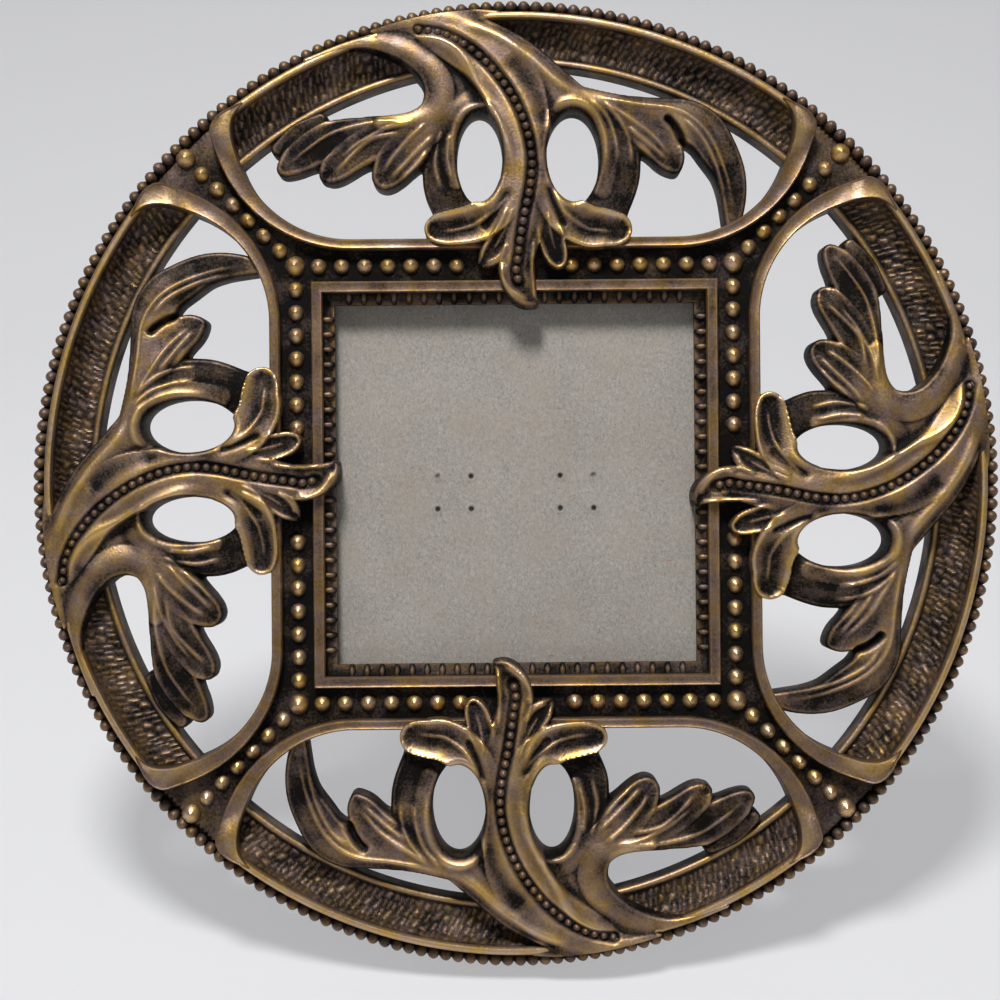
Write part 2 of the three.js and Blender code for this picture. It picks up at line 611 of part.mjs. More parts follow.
// Strut, its two hinges and the staples that hold them.
function addStrut(picture) {
  const swing = new THREE.Group();
  swing.position.set(0, HINGE_Y, axisZ);
  swing.rotation.x = strutOpen;
  picture.add(swing);
  piece('easel_strut', strutBoard(), blackPaper, swing);
  const boardTip = boardFront - axisZ;
  [['left', -1], ['right', 1]].forEach(([side, sign]) => {
    const still = new THREE.Group();
    still.position.set((sign * HINGE_SPREAD) / 2, HINGE_Y, axisZ);
    picture.add(still);
    const moving = new THREE.Group();
    moving.position.x = (sign * HINGE_SPREAD) / 2;
    swing.add(moving);
    piece(`hinge_fixed_leaf_${side}`, fixedLeaf(), brassedSteel, still);
    piece(`hinge_pin_${side}`, hingePin(), brightWire, still);
    piece(`hinge_moving_leaf_${side}`, movingLeaf(), brassedSteel, moving);
    stapleRows.forEach((row, k) => {
      const front = staple(leafBack - CLEARANCE, boardTip);
      const onBoard = piece(`board_staple_${side}_${k + 1}`, front, brightWire, still);
      onBoard.position.y = row;
      const back = staple(strutBack - CLEARANCE, leafFront);
      const onStrut = piece(`strut_staple_${side}_${k + 1}`, back, brightWire, moving);
      onStrut.position.y = -row;
    });
  });
}

const picture = new THREE.Group();
picture.rotation.x = Math.PI / 2 - lean;
addPanel(picture);
addButtons(picture);
addStrut(picture);

// Stand the part on the floor, centred over the origin.
const pictureFrame = new THREE.Group();
pictureFrame.add(picture);
const bounds = new THREE.Box3().setFromObject(pictureFrame, true);
picture.position.y = -(bounds.min.y + bounds.max.y) / 2;
picture.position.z = -bounds.min.z;

export default pictureFrame;
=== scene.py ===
import json
import math

import bmesh
import bpy
import numpy as np
from bpy.props import FloatProperty, FloatVectorProperty, IntProperty, PointerProperty
from bpy.types import Operator, Panel, PropertyGroup
from mathutils import Matrix, Vector


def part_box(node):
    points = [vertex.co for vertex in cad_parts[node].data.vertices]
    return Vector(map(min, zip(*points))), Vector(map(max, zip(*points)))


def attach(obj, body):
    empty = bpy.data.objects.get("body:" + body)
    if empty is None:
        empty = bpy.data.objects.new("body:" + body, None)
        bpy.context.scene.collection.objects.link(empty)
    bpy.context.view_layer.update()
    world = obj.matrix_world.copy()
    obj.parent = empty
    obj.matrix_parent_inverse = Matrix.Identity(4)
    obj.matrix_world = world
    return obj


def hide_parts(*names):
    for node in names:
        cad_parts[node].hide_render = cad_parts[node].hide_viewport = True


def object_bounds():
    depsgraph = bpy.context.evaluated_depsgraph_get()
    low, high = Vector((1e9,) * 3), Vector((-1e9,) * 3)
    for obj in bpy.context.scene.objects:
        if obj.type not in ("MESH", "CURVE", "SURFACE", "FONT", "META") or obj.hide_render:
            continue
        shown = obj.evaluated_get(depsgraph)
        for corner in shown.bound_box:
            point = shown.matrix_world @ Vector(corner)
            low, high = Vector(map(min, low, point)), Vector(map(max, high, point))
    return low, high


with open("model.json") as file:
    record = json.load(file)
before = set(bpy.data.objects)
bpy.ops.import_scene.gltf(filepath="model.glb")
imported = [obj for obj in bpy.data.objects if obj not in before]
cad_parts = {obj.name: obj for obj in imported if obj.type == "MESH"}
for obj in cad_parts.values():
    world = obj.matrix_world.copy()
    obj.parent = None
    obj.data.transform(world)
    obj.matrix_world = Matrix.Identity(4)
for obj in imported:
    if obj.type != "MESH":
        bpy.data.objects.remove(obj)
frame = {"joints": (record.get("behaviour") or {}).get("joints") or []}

bl_info = {
    "name": "Openwork Picture Frame",
    "version": (1, 0, 0),
    "blender": (4, 5, 0),
    "location": "View3D > Sidebar > Picture Frame",
    "description": "Dresses a round cast picture frame with its back panel and easel strut",
    "category": "Object",
}

# Pieces are drawn in millimetres on the leaning frame: x across, y up along the frame, z out of its
# front, with the middle of the window at x = y = 0 and the back of the casting at z = 0.
MM = 0.001
GLASS_MIDDLE = 2.4
CAD_BOX = [list(corner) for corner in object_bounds()]
JOINTS = {joint["name"]: joint for joint in frame["joints"]}
OUT = np.array(JOINTS["button_turn_upper_left"]["axis"], float)
UP = np.array([0.0, OUT[2], -OUT[1]])
ACROSS = np.array([1.0, 0.0, 0.0])
AXES = np.array([ACROSS, UP, OUT])
ORIGIN = np.array(sum(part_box("glass_pane"), Vector()) / 2) - OUT * GLASS_MIDDLE * MM
QUARTERS = range(4)

# Sizes of the casting, in millimetres. Heights are over the back of the casting.
RIM_RADIUS = 500 * (CAD_BOX[1][0] - CAD_BOX[0][0])
GROUND = 5.5
GROUND_RADIUS = 98.9
GROUND_HOLE = 41.0
GROUND_STEP = 0.8
BAND_OUTER = 96.4
BAND_INNER = 86.4
OPENING_HALF = 57.5
OPENING_BOTTOM = 50.3
OPENING_CORNER = 24.0
RIDGE_HALF = 62.3
RIDGE_BOTTOM = 48.1
RIDGE_CORNER = 29.0
RIDGE_SIDE = 5.4
RIDGE_SHOULDER = 7.4
RIDGE_EASE = 7.95
RIDGE_LIP = 8.2
RIDGE_TOP = 8.02
SIGHT = 37.1

# Beads of the channel and the arms.
BEAD_LINE = 45.0
SIDE_BEADS = 7
ARM_BEADS = 8
ARM_BEAD_START = 63.8
ARM_BEAD_PITCH = 4.5

# Ribs of the outer edge and nubs of the window: where their middles are, how large they are, and
# how full. A stud as full as 2 is a ball; a fuller one is nearer to a bar.
RIB_AT = 98.3
RIB_HEIGHT = 3.1
RIB_LENGTH = 6.2
RIB_RADIUS = 1.26
RIB_LEAN = 0.08
RIB_STRETCH = (1.34, 1.2, 1)
RIB_FULLNESS = 5.0
NUB_INSET = 1.3
NUB_HEIGHT = 5.0
NUB_LENGTH = 2.8
NUB_RADIUS = 1.25
NUB_SLOPE = 0.2
NUB_STRETCH = (0.8, 0.62, 1)
NUB_FULLNESS = 6.0
BALL = 2.0
STUD_SIDES = 12
STUD_RINGS = 9

# Profiles of the rim's fillets: reach from the band's edge, height and wear. The cove between them
# is a curve from its first point to its last, drawn towards the one in the middle.
INNER_FILLET = [
    (0, 0, 0.1), (0, 4.2, 0.2), (0.08, 4.7, 0.4), (0.35, 5.05, 0.66), (0.75, 5.18, 0.7),
    (1.15, 5.08, 0.6), (1.45, 4.8, 0.35), (1.62, 4.5, 0.12),
]
OUTER_FILLET = [
    (-1.8, 8.25, 0.12), (-1.68, 8.85, 0.6), (-1.35, 9.28, 0.92), (-0.9, 9.4, 1.0),
    (-0.45, 9.24, 0.85), (-0.1, 8.75, 0.5), (0, 7.6, 0.25), (0, 0, 0.1),
]
COVE = [(BAND_INNER + 1.75, 4.15), (BAND_OUTER - 2.6, 4.1), (BAND_OUTER - 1.88, 8.1)]
COVE_POINTS = 24
BAND_STATIONS = 401
SCALE_ROW = 2.1
SCALE_PITCH = 1.45
SCALE_HEIGHT = 0.4

# Crescent that ends a lunette's border at the rim: its outer and inner edges, x and y.
CRESCENT = [
    (-62, 72.3, -57.2, 70.2), (-61.3, 74.4, -57.4, 72.8), (-59.6, 76.1, -57, 75),
    (-57.2, 77.3, -55.9, 76.7), (-55.2, 78.1, -54.9, 77.8),
]

# Profile of the bezel: reach from the sight edge, height and wear.
BEZEL = [
    (0, 3.6, 0.1), (0, 4.5, 0.3), (0.12, 4.8, 0.5), (0.36, 4.75, 0.3), (1.1, 4.85, 0.1),
    (2.1, 5.3, 0.02), (2.25, 6.2, 0.05), (2.33, 7.1, 0.4), (2.53, 7.5, 0.6), (2.85, 7.45, 0.36),
    (3.5, 7.42, 0.3), (4.05, 7.45, 0.36), (4.35, 7.6, 0.64), (4.57, 7.35, 0.4), (4.65, 6.4, 0.05),
    (4.65, 0, 0), (3.2, 0, 0), (3.2, 3.6, 0),
]

# Back panel and hardware, in millimetres. Pairs are a back and a front face.
PANEL_HALF = 40.0
BOARD = (-0.8, 1.2)
BOARD_DIP = 0.15
PRONG_DEPTH = 0.9
FACING = (-1.5, -1.1)
GLASS = (1.5, 3.3)
BUTTON = (-2.8, -1.8)
BUTTON_AT = (45.15, 24.0)
BUTTON_REACH = 9.0
BUTTON_HALF = 3.2
SCREW = [
    (0.02, -4.4), (1.0, -4.36), (1.9, -4.12), (2.45, -3.7), (2.6, -3.35), (2.55, -3.12),
    (1.2, -3.1), (1.2, 2.0), (0.02, 3.2),
]
SLOT = (-6.0, -3.85)
SLOT_HALF = (4, 0.3)
CORNERS = [
    ("upper_left", -1, 1), ("upper_right", 1, 1), ("lower_left", -1, -1), ("lower_right", 1, -1),
]
PIN_Y = -9.6
PIN_Z = -3.8
PIN_ENDS = [(0.02, 0.6), (0.45, 0.56), (0.75, 0.3), (0.8, 0)]
HINGE_HALF_SPREAD = 12.8
LEAF = (13.6, 5.5)
LEAF_SKIN = (1.3, 2.0)
LEAF_CORNER = 1.5
LEAF_BEVEL = 0.15
LEAF_NOTCH = 3.6
LEAF_ROOT = 0.2
KNUCKLE = 2.0
KNUCKLE_HALF = 2.0
KNUCKLE_BORE = 1.1
KNUCKLE_EASE = 0.2
PLAY = 0.3
NOSE = (1.55, 3.0)
NOSE_HALF = 0.35
NOSE_ANGLE = math.radians(35)
STRUT_SKIN = (-1.4, 1.0)
STRUT_TOP = -2.6
STRUT_TOP_HALF = 19.0
STRUT_BEVEL = 0.35
STRUT_OPEN = math.radians(50)
STAPLE_ROWS = (4.4, 11.2)
STAPLE_HALF = 3.5
STAPLE_BEND = 0.6
WIRE = 0.35
WIRE_GAP = 0.05

# Stage, in metres and watts. A lamp has its place, its size and its power.
FLOOR_HALF = 1.6
BEND_START = 0.38
BEND_RADIUS = 0.3
LAMP_TARGET = Vector((0, 0, 0.1))
LAMPS = [
    ("softbox_above", (-0.1, -0.22, 0.95), 0.2, 9.8), ("fill_front", (0.1, -0.78, 0.42), 0.5, 0.45),
    ("softbox_left", (-0.8, -0.5, 0.5), 0.6, 0.45), ("fill_right", (0.9, -0.5, 0.45), 0.6, 0.35),
]
SKY = (0.9, 0.93, 1.0, 1)
SKY_STRENGTH = 0.11
BACKDROP_GLOW = 0.55
CAMERA_AT = (-3.3, -3.4, 327.5)
CAMERA_ANGLE = math.radians(35.5)
CAMERA_ROLL = math.radians(-0.5)

# Part of the upper lunette that a sprig takes up, the back of its leaves, and how its lobes run
# into each other.
SPRIG_X = (-54, 51)
SPRIG_Y = (35, 99.4)
LEAF_BACK = 1.2
LOBE_MARGIN = 2
LOBE_BLEND = 0.75
LOBE_SEAM = 0.3
LOBE_TOP = 12
EDGE_ROUNDING = 0.7
VEIN_HEIGHT = 0.42
VEIN_HALF = 0.42
CHANNEL_DEPTH = 0.9
CHANNEL_HALF = 1.2

# Oval openings beside the stem: middle x and y, half width and half height.
OVALS = [(-6.9, 66.6, 4.7, 9.3), (12.3, 66.7, 5.5, 9.5)]

# Lobes of a sprig: the fall from the crown to the edges, the depth of the dish towards the tip, and
# the points of the spine, each with x, y, half width and the height of the crown.
LOBES = {
    "root": (0.3, 0.0, [
        (-28, 93.4, 1.4, 9.6), (-21, 95, 1.9, 9.8), (-14, 95.6, 1.9, 9.8), (-8, 95.7, 1.3, 9.5),
        (-3, 95.9, 0.8, 9.1),
    ]),
    "stem": (0.9, 0.0, [
        (-27, 93.8, 1.5, 9.7), (-20, 94.2, 2.4, 10), (-14.7, 91.9, 4, 10.2), (-5.4, 87, 5.6, 10.8),
        (0, 80.2, 6, 11.2), (1.5, 74, 5.9, 11.4), (2.4, 67.5, 4.9, 11.4), (2.6, 60, 4.8, 11.2),
        (2.2, 52.8, 3.8, 10.6), (1.2, 46.9, 3.2, 9.8),
    ]),
    "tongue": (0.3, 0.7, [
        (2, 52, 3, 9.6), (0.8, 46.5, 3.2, 9.6), (0.5, 43.6, 3.6, 9.5), (1, 41, 3.4, 9.3),
        (2, 38.9, 2.5, 9.1), (3.2, 37.7, 1.5, 8.9), (4.4, 37.1, 0.7, 8.7),
    ]),
    "left_shoulder": (0.8, 0.0, [
        (-42.1, 86.5, 0.9, 9.2), (-34, 89.4, 1.1, 9.4), (-28.5, 90.1, 1.6, 9.6),
        (-22, 88.4, 2.3, 9.8), (-16.9, 84.6, 2.8, 9.9), (-15, 80.2, 3.1, 9.8),
        (-16.2, 76.4, 2.6, 9.6), (-20.4, 74.5, 1.7, 9.3), (-27, 73.8, 1.4, 9),
    ]),
    "left_valley": (0.3, 0.0, [
        (-26, 91.4, 1.6, 9.5), (-19, 89.4, 2.6, 9.2), (-13.2, 85.6, 3.2, 9), (-10.6, 81, 3.6, 8.8),
        (-10.6, 77, 3.4, 8.8),
    ]),
    "left_arch": (0.4, 0.0, [
        (-3, 79.4, 2.5, 9.2), (-6.5, 78.2, 2.6, 9.1), (-10, 76.8, 2.4, 8.9),
        (-12.6, 72.5, 2.2, 8.6), (-12.8, 67, 1.8, 8.1), (-11.8, 62, 1.6, 7.7),
    ]),
    "left_outer": (1.0, 0.8, [
        (-9, 78, 2.4, 8.8), (-14.8, 76.4, 2.6, 8.9), (-21.5, 74, 1.8, 8.7), (-30, 73.2, 2.3, 8.3),
        (-37.4, 71.2, 3.5, 7.9), (-43.2, 67.7, 3.3, 7.5), (-46.4, 65.6, 2.2, 7.2),
        (-47.4, 64.9, 1.2, 7),
    ]),
    "left_web": (0.6, 0.0, [
        (-48.4, 69.4, 1.5, 6.2), (-44, 72.4, 2.4, 6.4), (-39.6, 75.3, 1.4, 6.4),
    ]),
    "left_middle": (1.0, 0.9, [
        (-9.6, 77.5, 2.2, 8.9), (-16.1, 75, 2.4, 9), (-24.4, 72.2, 2.7, 8.8),
        (-31.6, 68.4, 3.4, 8.4), (-36.4, 65, 2.9, 8), (-38.2, 63.8, 1.7, 7.4),
    ]),
    "left_inner": (0.9, 0.7, [
        (-9.6, 77.4, 2.2, 8.9), (-14.3, 75, 2.8, 9.2), (-19.2, 71.2, 3.6, 9.2),
        (-23, 67.1, 4.1, 8.8), (-25.8, 63.7, 3.2, 8.2), (-26.9, 62.3, 1.6, 7.8),
    ]),
    "left_limb": (1.0, 0.3, [
        (-10, 77.6, 2.4, 8.6), (-12.9, 73, 2.6, 8.4), (-14.7, 67, 3.2, 8), (-14.3, 61.4, 4.2, 7.6),
        (-12.4, 56.6, 4, 7.4),
    ]),
    "left_curl": (0.4, 1.7, [
        (2.4, 65, 2, 10), (0, 60, 3.2, 10.8), (-3.5, 55.6, 3.6, 10.8), (-8, 53, 3.8, 10.6),
        (-12.6, 52.2, 3.5, 10), (-14.8, 52.1, 3.1, 9.6), (-15.6, 52.1, 2.7, 9.3),
    ]),
    "left_leaflet": (0.4, 0.9, [
        (1, 60, 1.2, 9.8), (-0.4, 56.3, 1.5, 10), (-2.3, 50.8, 2.1, 9.9), (-4.3, 47.4, 2.4, 9.7),
        (-5.8, 45.6, 1.5, 9.3), (-6.6, 44.7, 0.6, 9),
    ]),
    "right_shoulder": (1.2, 0.0, [
        (-20, 95.2, 1.6, 9.8), (-13, 94.8, 2, 10), (-6.4, 91.9, 3, 10.2), (1, 87, 4, 10.6),
        (7.6, 80.9, 4.5, 10.2), (13, 78, 3.2, 9.8), (19, 77.4, 2, 9),
    ]),
    "right_arch": (0.4, 0.0, [
        (5.4, 79, 3, 9.3), (6.6, 74.5, 2.4, 9.2), (9, 78, 2.6, 9.3), (13, 77.8, 2.6, 9.3),
        (16.8, 75.4, 2.4, 9.1), (18.9, 70, 2.2, 8.7), (19.2, 65, 2, 8.1), (18.4, 60, 1.8, 7.6),
    ]),
    "right_limb": (1.0, 0.3, [
        (15.4, 77, 2.2, 8.9), (19.6, 73, 2.9, 8.6), (21.8, 68.6, 3.8, 8.2), (21.6, 63.4, 4.5, 7.8),
        (19.8, 58, 4.5, 7.5), (18.4, 55.4, 4, 7.4),
    ]),
    "right_inner": (1.0, 0.8, [
        (14.5, 78, 2.4, 9.3), (21, 76, 2.9, 9.2), (28.2, 71.4, 3.7, 8.9), (31.6, 67.6, 3.4, 8.5),
        (33, 65.2, 1.9, 8.1), (33.4, 64.3, 1, 7.9),
    ]),
    "right_outer": (1.1, 0.7, [
        (13, 79, 2.2, 9.4), (21.5, 77.4, 2, 9.2), (30.3, 75.8, 3, 8.8), (35.6, 74.4, 4.1, 8.6),
        (39.4, 72, 4.3, 8.4), (42, 68.2, 4, 8.2), (44.2, 64, 3.4, 8.1), (45.1, 60, 2.9, 8),
        (45.2, 56, 2.3, 7.9), (44.9, 53, 1.6, 7.8),
    ]),
    "right_curl": (0.4, 1.7, [
        (4.5, 66, 2, 10), (6.8, 60.5, 3.2, 10.8), (10.2, 55.3, 3.9, 10.8), (14.8, 52.3, 4.2, 10.6),
        (18.5, 51.9, 3.8, 10.2), (20.6, 51.7, 3.4, 9.7), (21.2, 51.7, 3, 9.4),
    ]),
    "right_leaflet": (0.4, 0.9, [
        (5.6, 60, 1.4, 9.8), (6.6, 56, 1.9, 10), (7.4, 51, 2.4, 9.9), (8.5, 47, 2.4, 9.7),
        (9.1, 45.3, 1.6, 9.4),
    ]),
}

# Fine raised lines that run along the lobes.
VEINS = [
    [(-21.4, 73.8), (-28.7, 74), (-36.7, 72.2), (-42.1, 69), (-46.4, 65.6)],
    [(-23.2, 71.7), (-28.7, 70.7), (-32.7, 67.8), (-36.6, 63.8)],
    [(-20, 74), (-26, 72.6), (-31.4, 70), (-35.6, 66.8)],
    [(-16, 71.2), (-19.6, 68), (-22.9, 64.8), (-25.4, 62.4)],
    [(-17.6, 73.6), (-21.4, 70.4), (-25, 66.4), (-26.6, 63.8)],
    [(-17.4, 68), (-20, 65.1), (-23, 62.4)],
    [(-14.5, 72.4), (-15.6, 68.7), (-16, 65.1), (-14.9, 60.4)],
    [(-13.1, 71.7), (-13.4, 66.6), (-12.4, 61.5)],
    [(17, 78.6), (25.7, 77.1), (33, 76.2), (37.7, 73.6), (41, 69.5), (43.5, 63.3), (45.2, 56)],
    [(34.8, 74.2), (38.4, 70.9), (41.3, 65.5), (43.5, 58.6)],
    [(18.5, 77.5), (23.9, 74.2), (28.6, 70.9), (32.6, 66.4)],
    [(23.2, 72.7), (27.5, 69.5), (31.8, 65.8)],
    [(15.9, 78.2), (19.2, 74.6), (21, 70.2), (21.7, 65.1)],
    [(18.5, 77.5), (22.1, 73.5), (24, 69.1), (24.4, 65.1)],
    [(-0.4, 59.4), (-4, 55.2), (-8, 52.8), (-12, 51.8), (-15.6, 51.6)],
    [(7.4, 59.6), (10.4, 55), (14.6, 52), (18, 51.4), (21.2, 51.2)],
]

# Hollows and raised lips of a sprig: depth, half width, and the points that they follow. A lip's
# depth is below nought.
HOLLOWS = [
    (1.7, 0.7, [(31, 75), (32.9, 73.2), (34.2, 71), (35, 68.8)]),
    (0.6, 2.2, [(-1, 87), (3.2, 82.4), (6, 77.2), (6.4, 71.5)]),
    (-0.8, 1.1, [
        (-20, 92.4), (-13.4, 90), (-9.6, 85.8), (-7.2, 80.6), (-3.6, 74.6), (-1.2, 68.5),
        (-0.6, 62),
    ]),
    (-0.5, 1.0, [(-10, 93.8), (-3, 91), (3.4, 86.6), (9, 81.8), (14, 78.6)]),
    (-0.5, 0.7, [
        (7, 71), (7.6, 74.8), (9.6, 77.2), (12.4, 77.9), (15.6, 76.6), (18, 73), (19, 68.6),
        (18.6, 62),
    ]),
    (-0.4, 0.6, [(-3.2, 75.8), (-6.8, 77), (-10.2, 75.6), (-12.2, 71.6), (-12.4, 66)]),
    (0.8, 0.8, [(-6.6, 51.6), (-3.4, 55.6), (-0.4, 60)]),
    (0.8, 0.8, [(10.2, 51.6), (8.4, 56.6), (7.2, 61)]),
    (-0.7, 0.8, [(-2.2, 45), (-2.5, 42.2), (-1.1, 39.8), (1.2, 38.1), (3.4, 37.2)]),
    (-0.5, 0.45, [(4.2, 50), (3.8, 46), (3.8, 42), (4.2, 38)]),
    (-0.5, 0.45, [(-1.2, 56), (-3.6, 51.4), (-6.2, 47.6), (-6.6, 45.4)]),
    (-0.5, 0.5, [(-6.2, 45), (-3.4, 46.2), (-1.4, 49)]),
    (-0.3, 0.35, [(0, 56), (-2.2, 51), (-4.6, 47)]),
    (-0.5, 0.5, [
        (5.4, 53), (5.2, 49.6), (6.4, 46.2), (8.4, 44.2), (10, 44.6), (10.7, 46.6), (9.8, 51),
        (8, 56),
    ]),
    (-0.3, 0.35, [(6.9, 55), (7.5, 51), (8.6, 46.8)]),
]

# Line of the beads along a stem.
STEM_LINE = [
    (-19, 92.6), (-14.3, 91.6), (-10, 89.5), (-6.2, 86.5), (-3, 82.9), (-0.3, 79), (1.8, 74.7),
    (3.2, 70.1), (3.8, 65.3), (3.4, 60.5), (2.4, 55.8), (1.5, 51), (0.8, 46.2), (0.4, 43.4),
    (0.9, 41),
]

# Lines of painted shade that darken a sprig: how much, half width, and the points that they
# follow. An amount below nought lightens the line instead.
PAINTED_SHADES = [
    (0.28, 1.9, [(-5, 88.4), (1.6, 82.6), (5, 76.4), (6, 70), (5.4, 64), (4.4, 59)]),
    (0.6, 2.4, [(4.4, 66), (3.8, 60), (3, 55), (2.4, 50), (2, 46), (1.6, 43), (2, 40)]),
    (-0.32, 2.2, [(-17, 88.6), (-13.6, 85.4), (-11.2, 82), (-10, 78.6)]),
    (0.24, 1.7, [(-24, 88.2), (-19, 85.4), (-16.6, 81.6), (-16.6, 78), (-19.4, 75.6)]),
    (0.2, 1.7, [(-4, 55.6), (-8, 53.4), (-12.6, 52.6), (-16, 52.4)]),
    (0.2, 1.7, [(10, 55.6), (14.6, 52.8), (18.5, 52.2), (21.6, 52)]),
    (0.1, 3, [(-15.4, 64), (-14.4, 60), (-12.4, 56.6)]),
    (0.1, 3, [(22.8, 66), (21.8, 62), (19.4, 58)]),
    (0.25, 3.4, [(-34, 72.6), (-40, 69.8), (-46, 66)]),
    (0.2, 3, [(43.6, 66), (45.2, 60), (45.2, 54)]),
    (0.35, 1.6, [(-19, 92.6), (-10, 89.5), (-3, 82.9), (1.8, 74.7), (3.8, 65.3)]),
]


class FrameSizes(PropertyGroup):
    """Sizes that can be changed without redrawing a piece."""

    rib_count: IntProperty(
        name="Rim ribs", description="Ribs round the outer edge", default=240, min=60)
    bead_radius: FloatProperty(
        name="Bead radius", description="Radius of a bead in the channel",
        default=1.75 * MM, unit="LENGTH")
    bead_pitch: FloatProperty(
        name="Bead pitch", description="Distance between beads in the channel",
        default=4.75 * MM, unit="LENGTH")
    corner_bead_radius: FloatProperty(
        name="Corner bead radius", description="Radius of the beads at an arm's ends",
        default=2.2 * MM, unit="LENGTH")
    stem_bead_radius: FloatProperty(
        name="Stem bead radius", description="Radius of the beads along a stem",
        default=0.9 * MM, unit="LENGTH")
    stem_bead_pitch: FloatProperty(
        name="Stem bead pitch", description="Distance between the beads along a stem",
        default=1.95 * MM, unit="LENGTH")
    nub_pitch: FloatProperty(
        name="Nub pitch", description="Distance between the nubs round the window",
        default=3.1 * MM, unit="LENGTH")
    relief_step: FloatProperty(
        name="Relief step", description="Spacing of the points that shape a sprig",
        default=0.25 * MM, unit="LENGTH")


class FrameColours(PropertyGroup):
    """Colours of the finishes."""

    gold: FloatVectorProperty(
        name="Rubbed gold", description="Bronze on the high spots",
        default=(0.58, 0.41, 0.215), subtype="COLOR")
    copper: FloatVectorProperty(
        name="Copper brown", description="Bronze on the flats",
        default=(0.185, 0.121, 0.072), subtype="COLOR")
    recess: FloatVectorProperty(
        name="Recess", description="Bronze in the hollows",
        default=(0.006, 0.005, 0.0038), subtype="COLOR")
    bloom: FloatVectorProperty(
        name="Bloom", description="Faint green spots on the bronze",
        default=(0.09, 0.135, 0.118), subtype="COLOR")
    board: FloatVectorProperty(
        name="Grey board", description="Chipboard behind the glass",
        default=(0.33, 0.305, 0.272), subtype="COLOR")
    red_fibre: FloatVectorProperty(
        name="Red fibre", description="Stray fibres in the chipboard",
        default=(0.32, 0.09, 0.06), subtype="COLOR")
    # Painted shade in the staples' prong holes, and the faint stain round them.
    prong_shade_and_stain: FloatVectorProperty(
        name="Prong mark", description="Holes of the staples in the chipboard",
        default=(0.03, 0.026, 0.022), subtype="COLOR")
    paper: FloatVectorProperty(
        name="Black paper", description="Paper on the back and the strut",
        default=(0.018, 0.017, 0.016), subtype="COLOR")
    glass: FloatVectorProperty(
        name="Glass", description="Pane in the window",
        default=(0.05, 0.056, 0.054), subtype="COLOR")
    brass: FloatVectorProperty(
        name="Brassed steel", description="Hinges, buttons and screws",
        default=(0.56, 0.42, 0.19), subtype="COLOR")
    wire: FloatVectorProperty(
        name="Steel wire", description="Staples and pins",
        default=(0.56, 0.56, 0.54), subtype="COLOR")
    floor: FloatVectorProperty(
        name="Floor", description="Paper that the frame stands on",
        default=(0.665, 0.665, 0.68), subtype="COLOR")


def sizes():
    return bpy.context.scene.frame_sizes


def colour_of(name):
    return tuple(getattr(bpy.context.scene.frame_colours, name))


def place(points):
    """Points on the frame, in millimetres, as points of the scene in metres."""
    return ORIGIN + MM * (np.asarray(points, float) @ AXES)


def turn(points, quarter):
    """Points turned about the middle of the frame by a number of right angles."""
    points = np.array(points, float)
    for _ in range(quarter):
        points[..., :2] = np.stack([-points[..., 1], points[..., 0]], -1)
    return points


def four_times(points):
    """Points repeated in each quarter of the frame."""
    return np.concatenate([turn(points, quarter) for quarter in QUARTERS])


def panel_square():
    """Corners of the glass and of the back panel."""
    return four_times([(-PANEL_HALF, -PANEL_HALF)])


def smooth_step(value, start, end):
    """Share of the way from start to end, eased at both."""
    share = np.clip((value - start) / (end - start), 0, 1)
    return share * share * (3 - 2 * share)


def unit(vectors):
    """Vectors of the same direction, one long."""
    return vectors / np.linalg.norm(vectors, axis=1)[:, None]


def left_of(vectors):
    """Flat vectors turned a quarter to the left."""
    return np.stack([-vectors[:, 1], vectors[:, 0]], -1)


def path_reach(line):
    """Distance along a line from its start to each of its points."""
    return np.concatenate([[0], np.cumsum(np.hypot(*np.diff(line, axis=0).T))])


def link(name, data):
    """New object in the scene."""
    obj = bpy.data.objects.new(name, data)
    bpy.context.scene.collection.objects.link(obj)
    return obj


def settled_mesh(obj):
    """Plain mesh of an object after its modifiers."""
    shown = obj.evaluated_get(bpy.context.evaluated_depsgraph_get())
    return bpy.data.meshes.new_from_object(shown)


def store_wear_and_shade(mesh, values):
    """Gives a mesh its wear and painted shade, from 0 in a dark recess to 1 on rubbed gold."""
    worn = np.clip(values, 0, 1).astype(np.float32)
    mesh.attributes.new("wear", "FLOAT", "POINT").data.foreach_set("value", worn)


def volume_of(points, faces):
    """Six times the volume inside faces, below nought where they face inwards."""
    total = 0.0
    for rows in faces:
        first = points[rows[:, 0]]
        for k in range(1, rows.shape[1] - 1):
            fan = np.cross(points[rows[:, k]], points[rows[:, k + 1]])
            total += np.einsum("ij,ij->", first, fan)
    return total


def piece(name, parts, crease=35.0):
    """Object from closed parts: points in mm, faces in rows of corners, wear and painted shade."""
    points, faces, wear, start = [], [], [], 0
    for spots, rows, worn in parts:
        spots = np.asarray(spots, float)
        rows = [np.asarray(row, np.int64) for row in rows]
        if volume_of(spots, rows) < 0:
            rows = [row[:, ::-1] for row in rows]
        points.append(spots)
        faces += [row + start for row in rows]
        wear.append(np.broadcast_to(worn, len(spots)))
        start += len(spots)
    corners = np.concatenate([rows.ravel() for rows in faces])
    counts = np.concatenate([np.full(len(rows), rows.shape[1]) for rows in faces])
    mesh = bpy.data.meshes.new(name)
    mesh.vertices.add(start)
    mesh.vertices.foreach_set("co", place(np.concatenate(points)).ravel())
    mesh.loops.add(len(corners))
    mesh.loops.foreach_set("vertex_index", corners.astype(np.int32))
    mesh.polygons.add(len(counts))
    mesh.polygons.foreach_set("loop_start", (np.cumsum(counts) - counts).astype(np.int32))
    mesh.update(calc_edges=True)
    store_wear_and_shade(mesh, np.concatenate(wear))
    mesh.shade_smooth()
    mesh.set_sharp_from_angle(angle=math.radians(crease))
    return link(name, mesh)


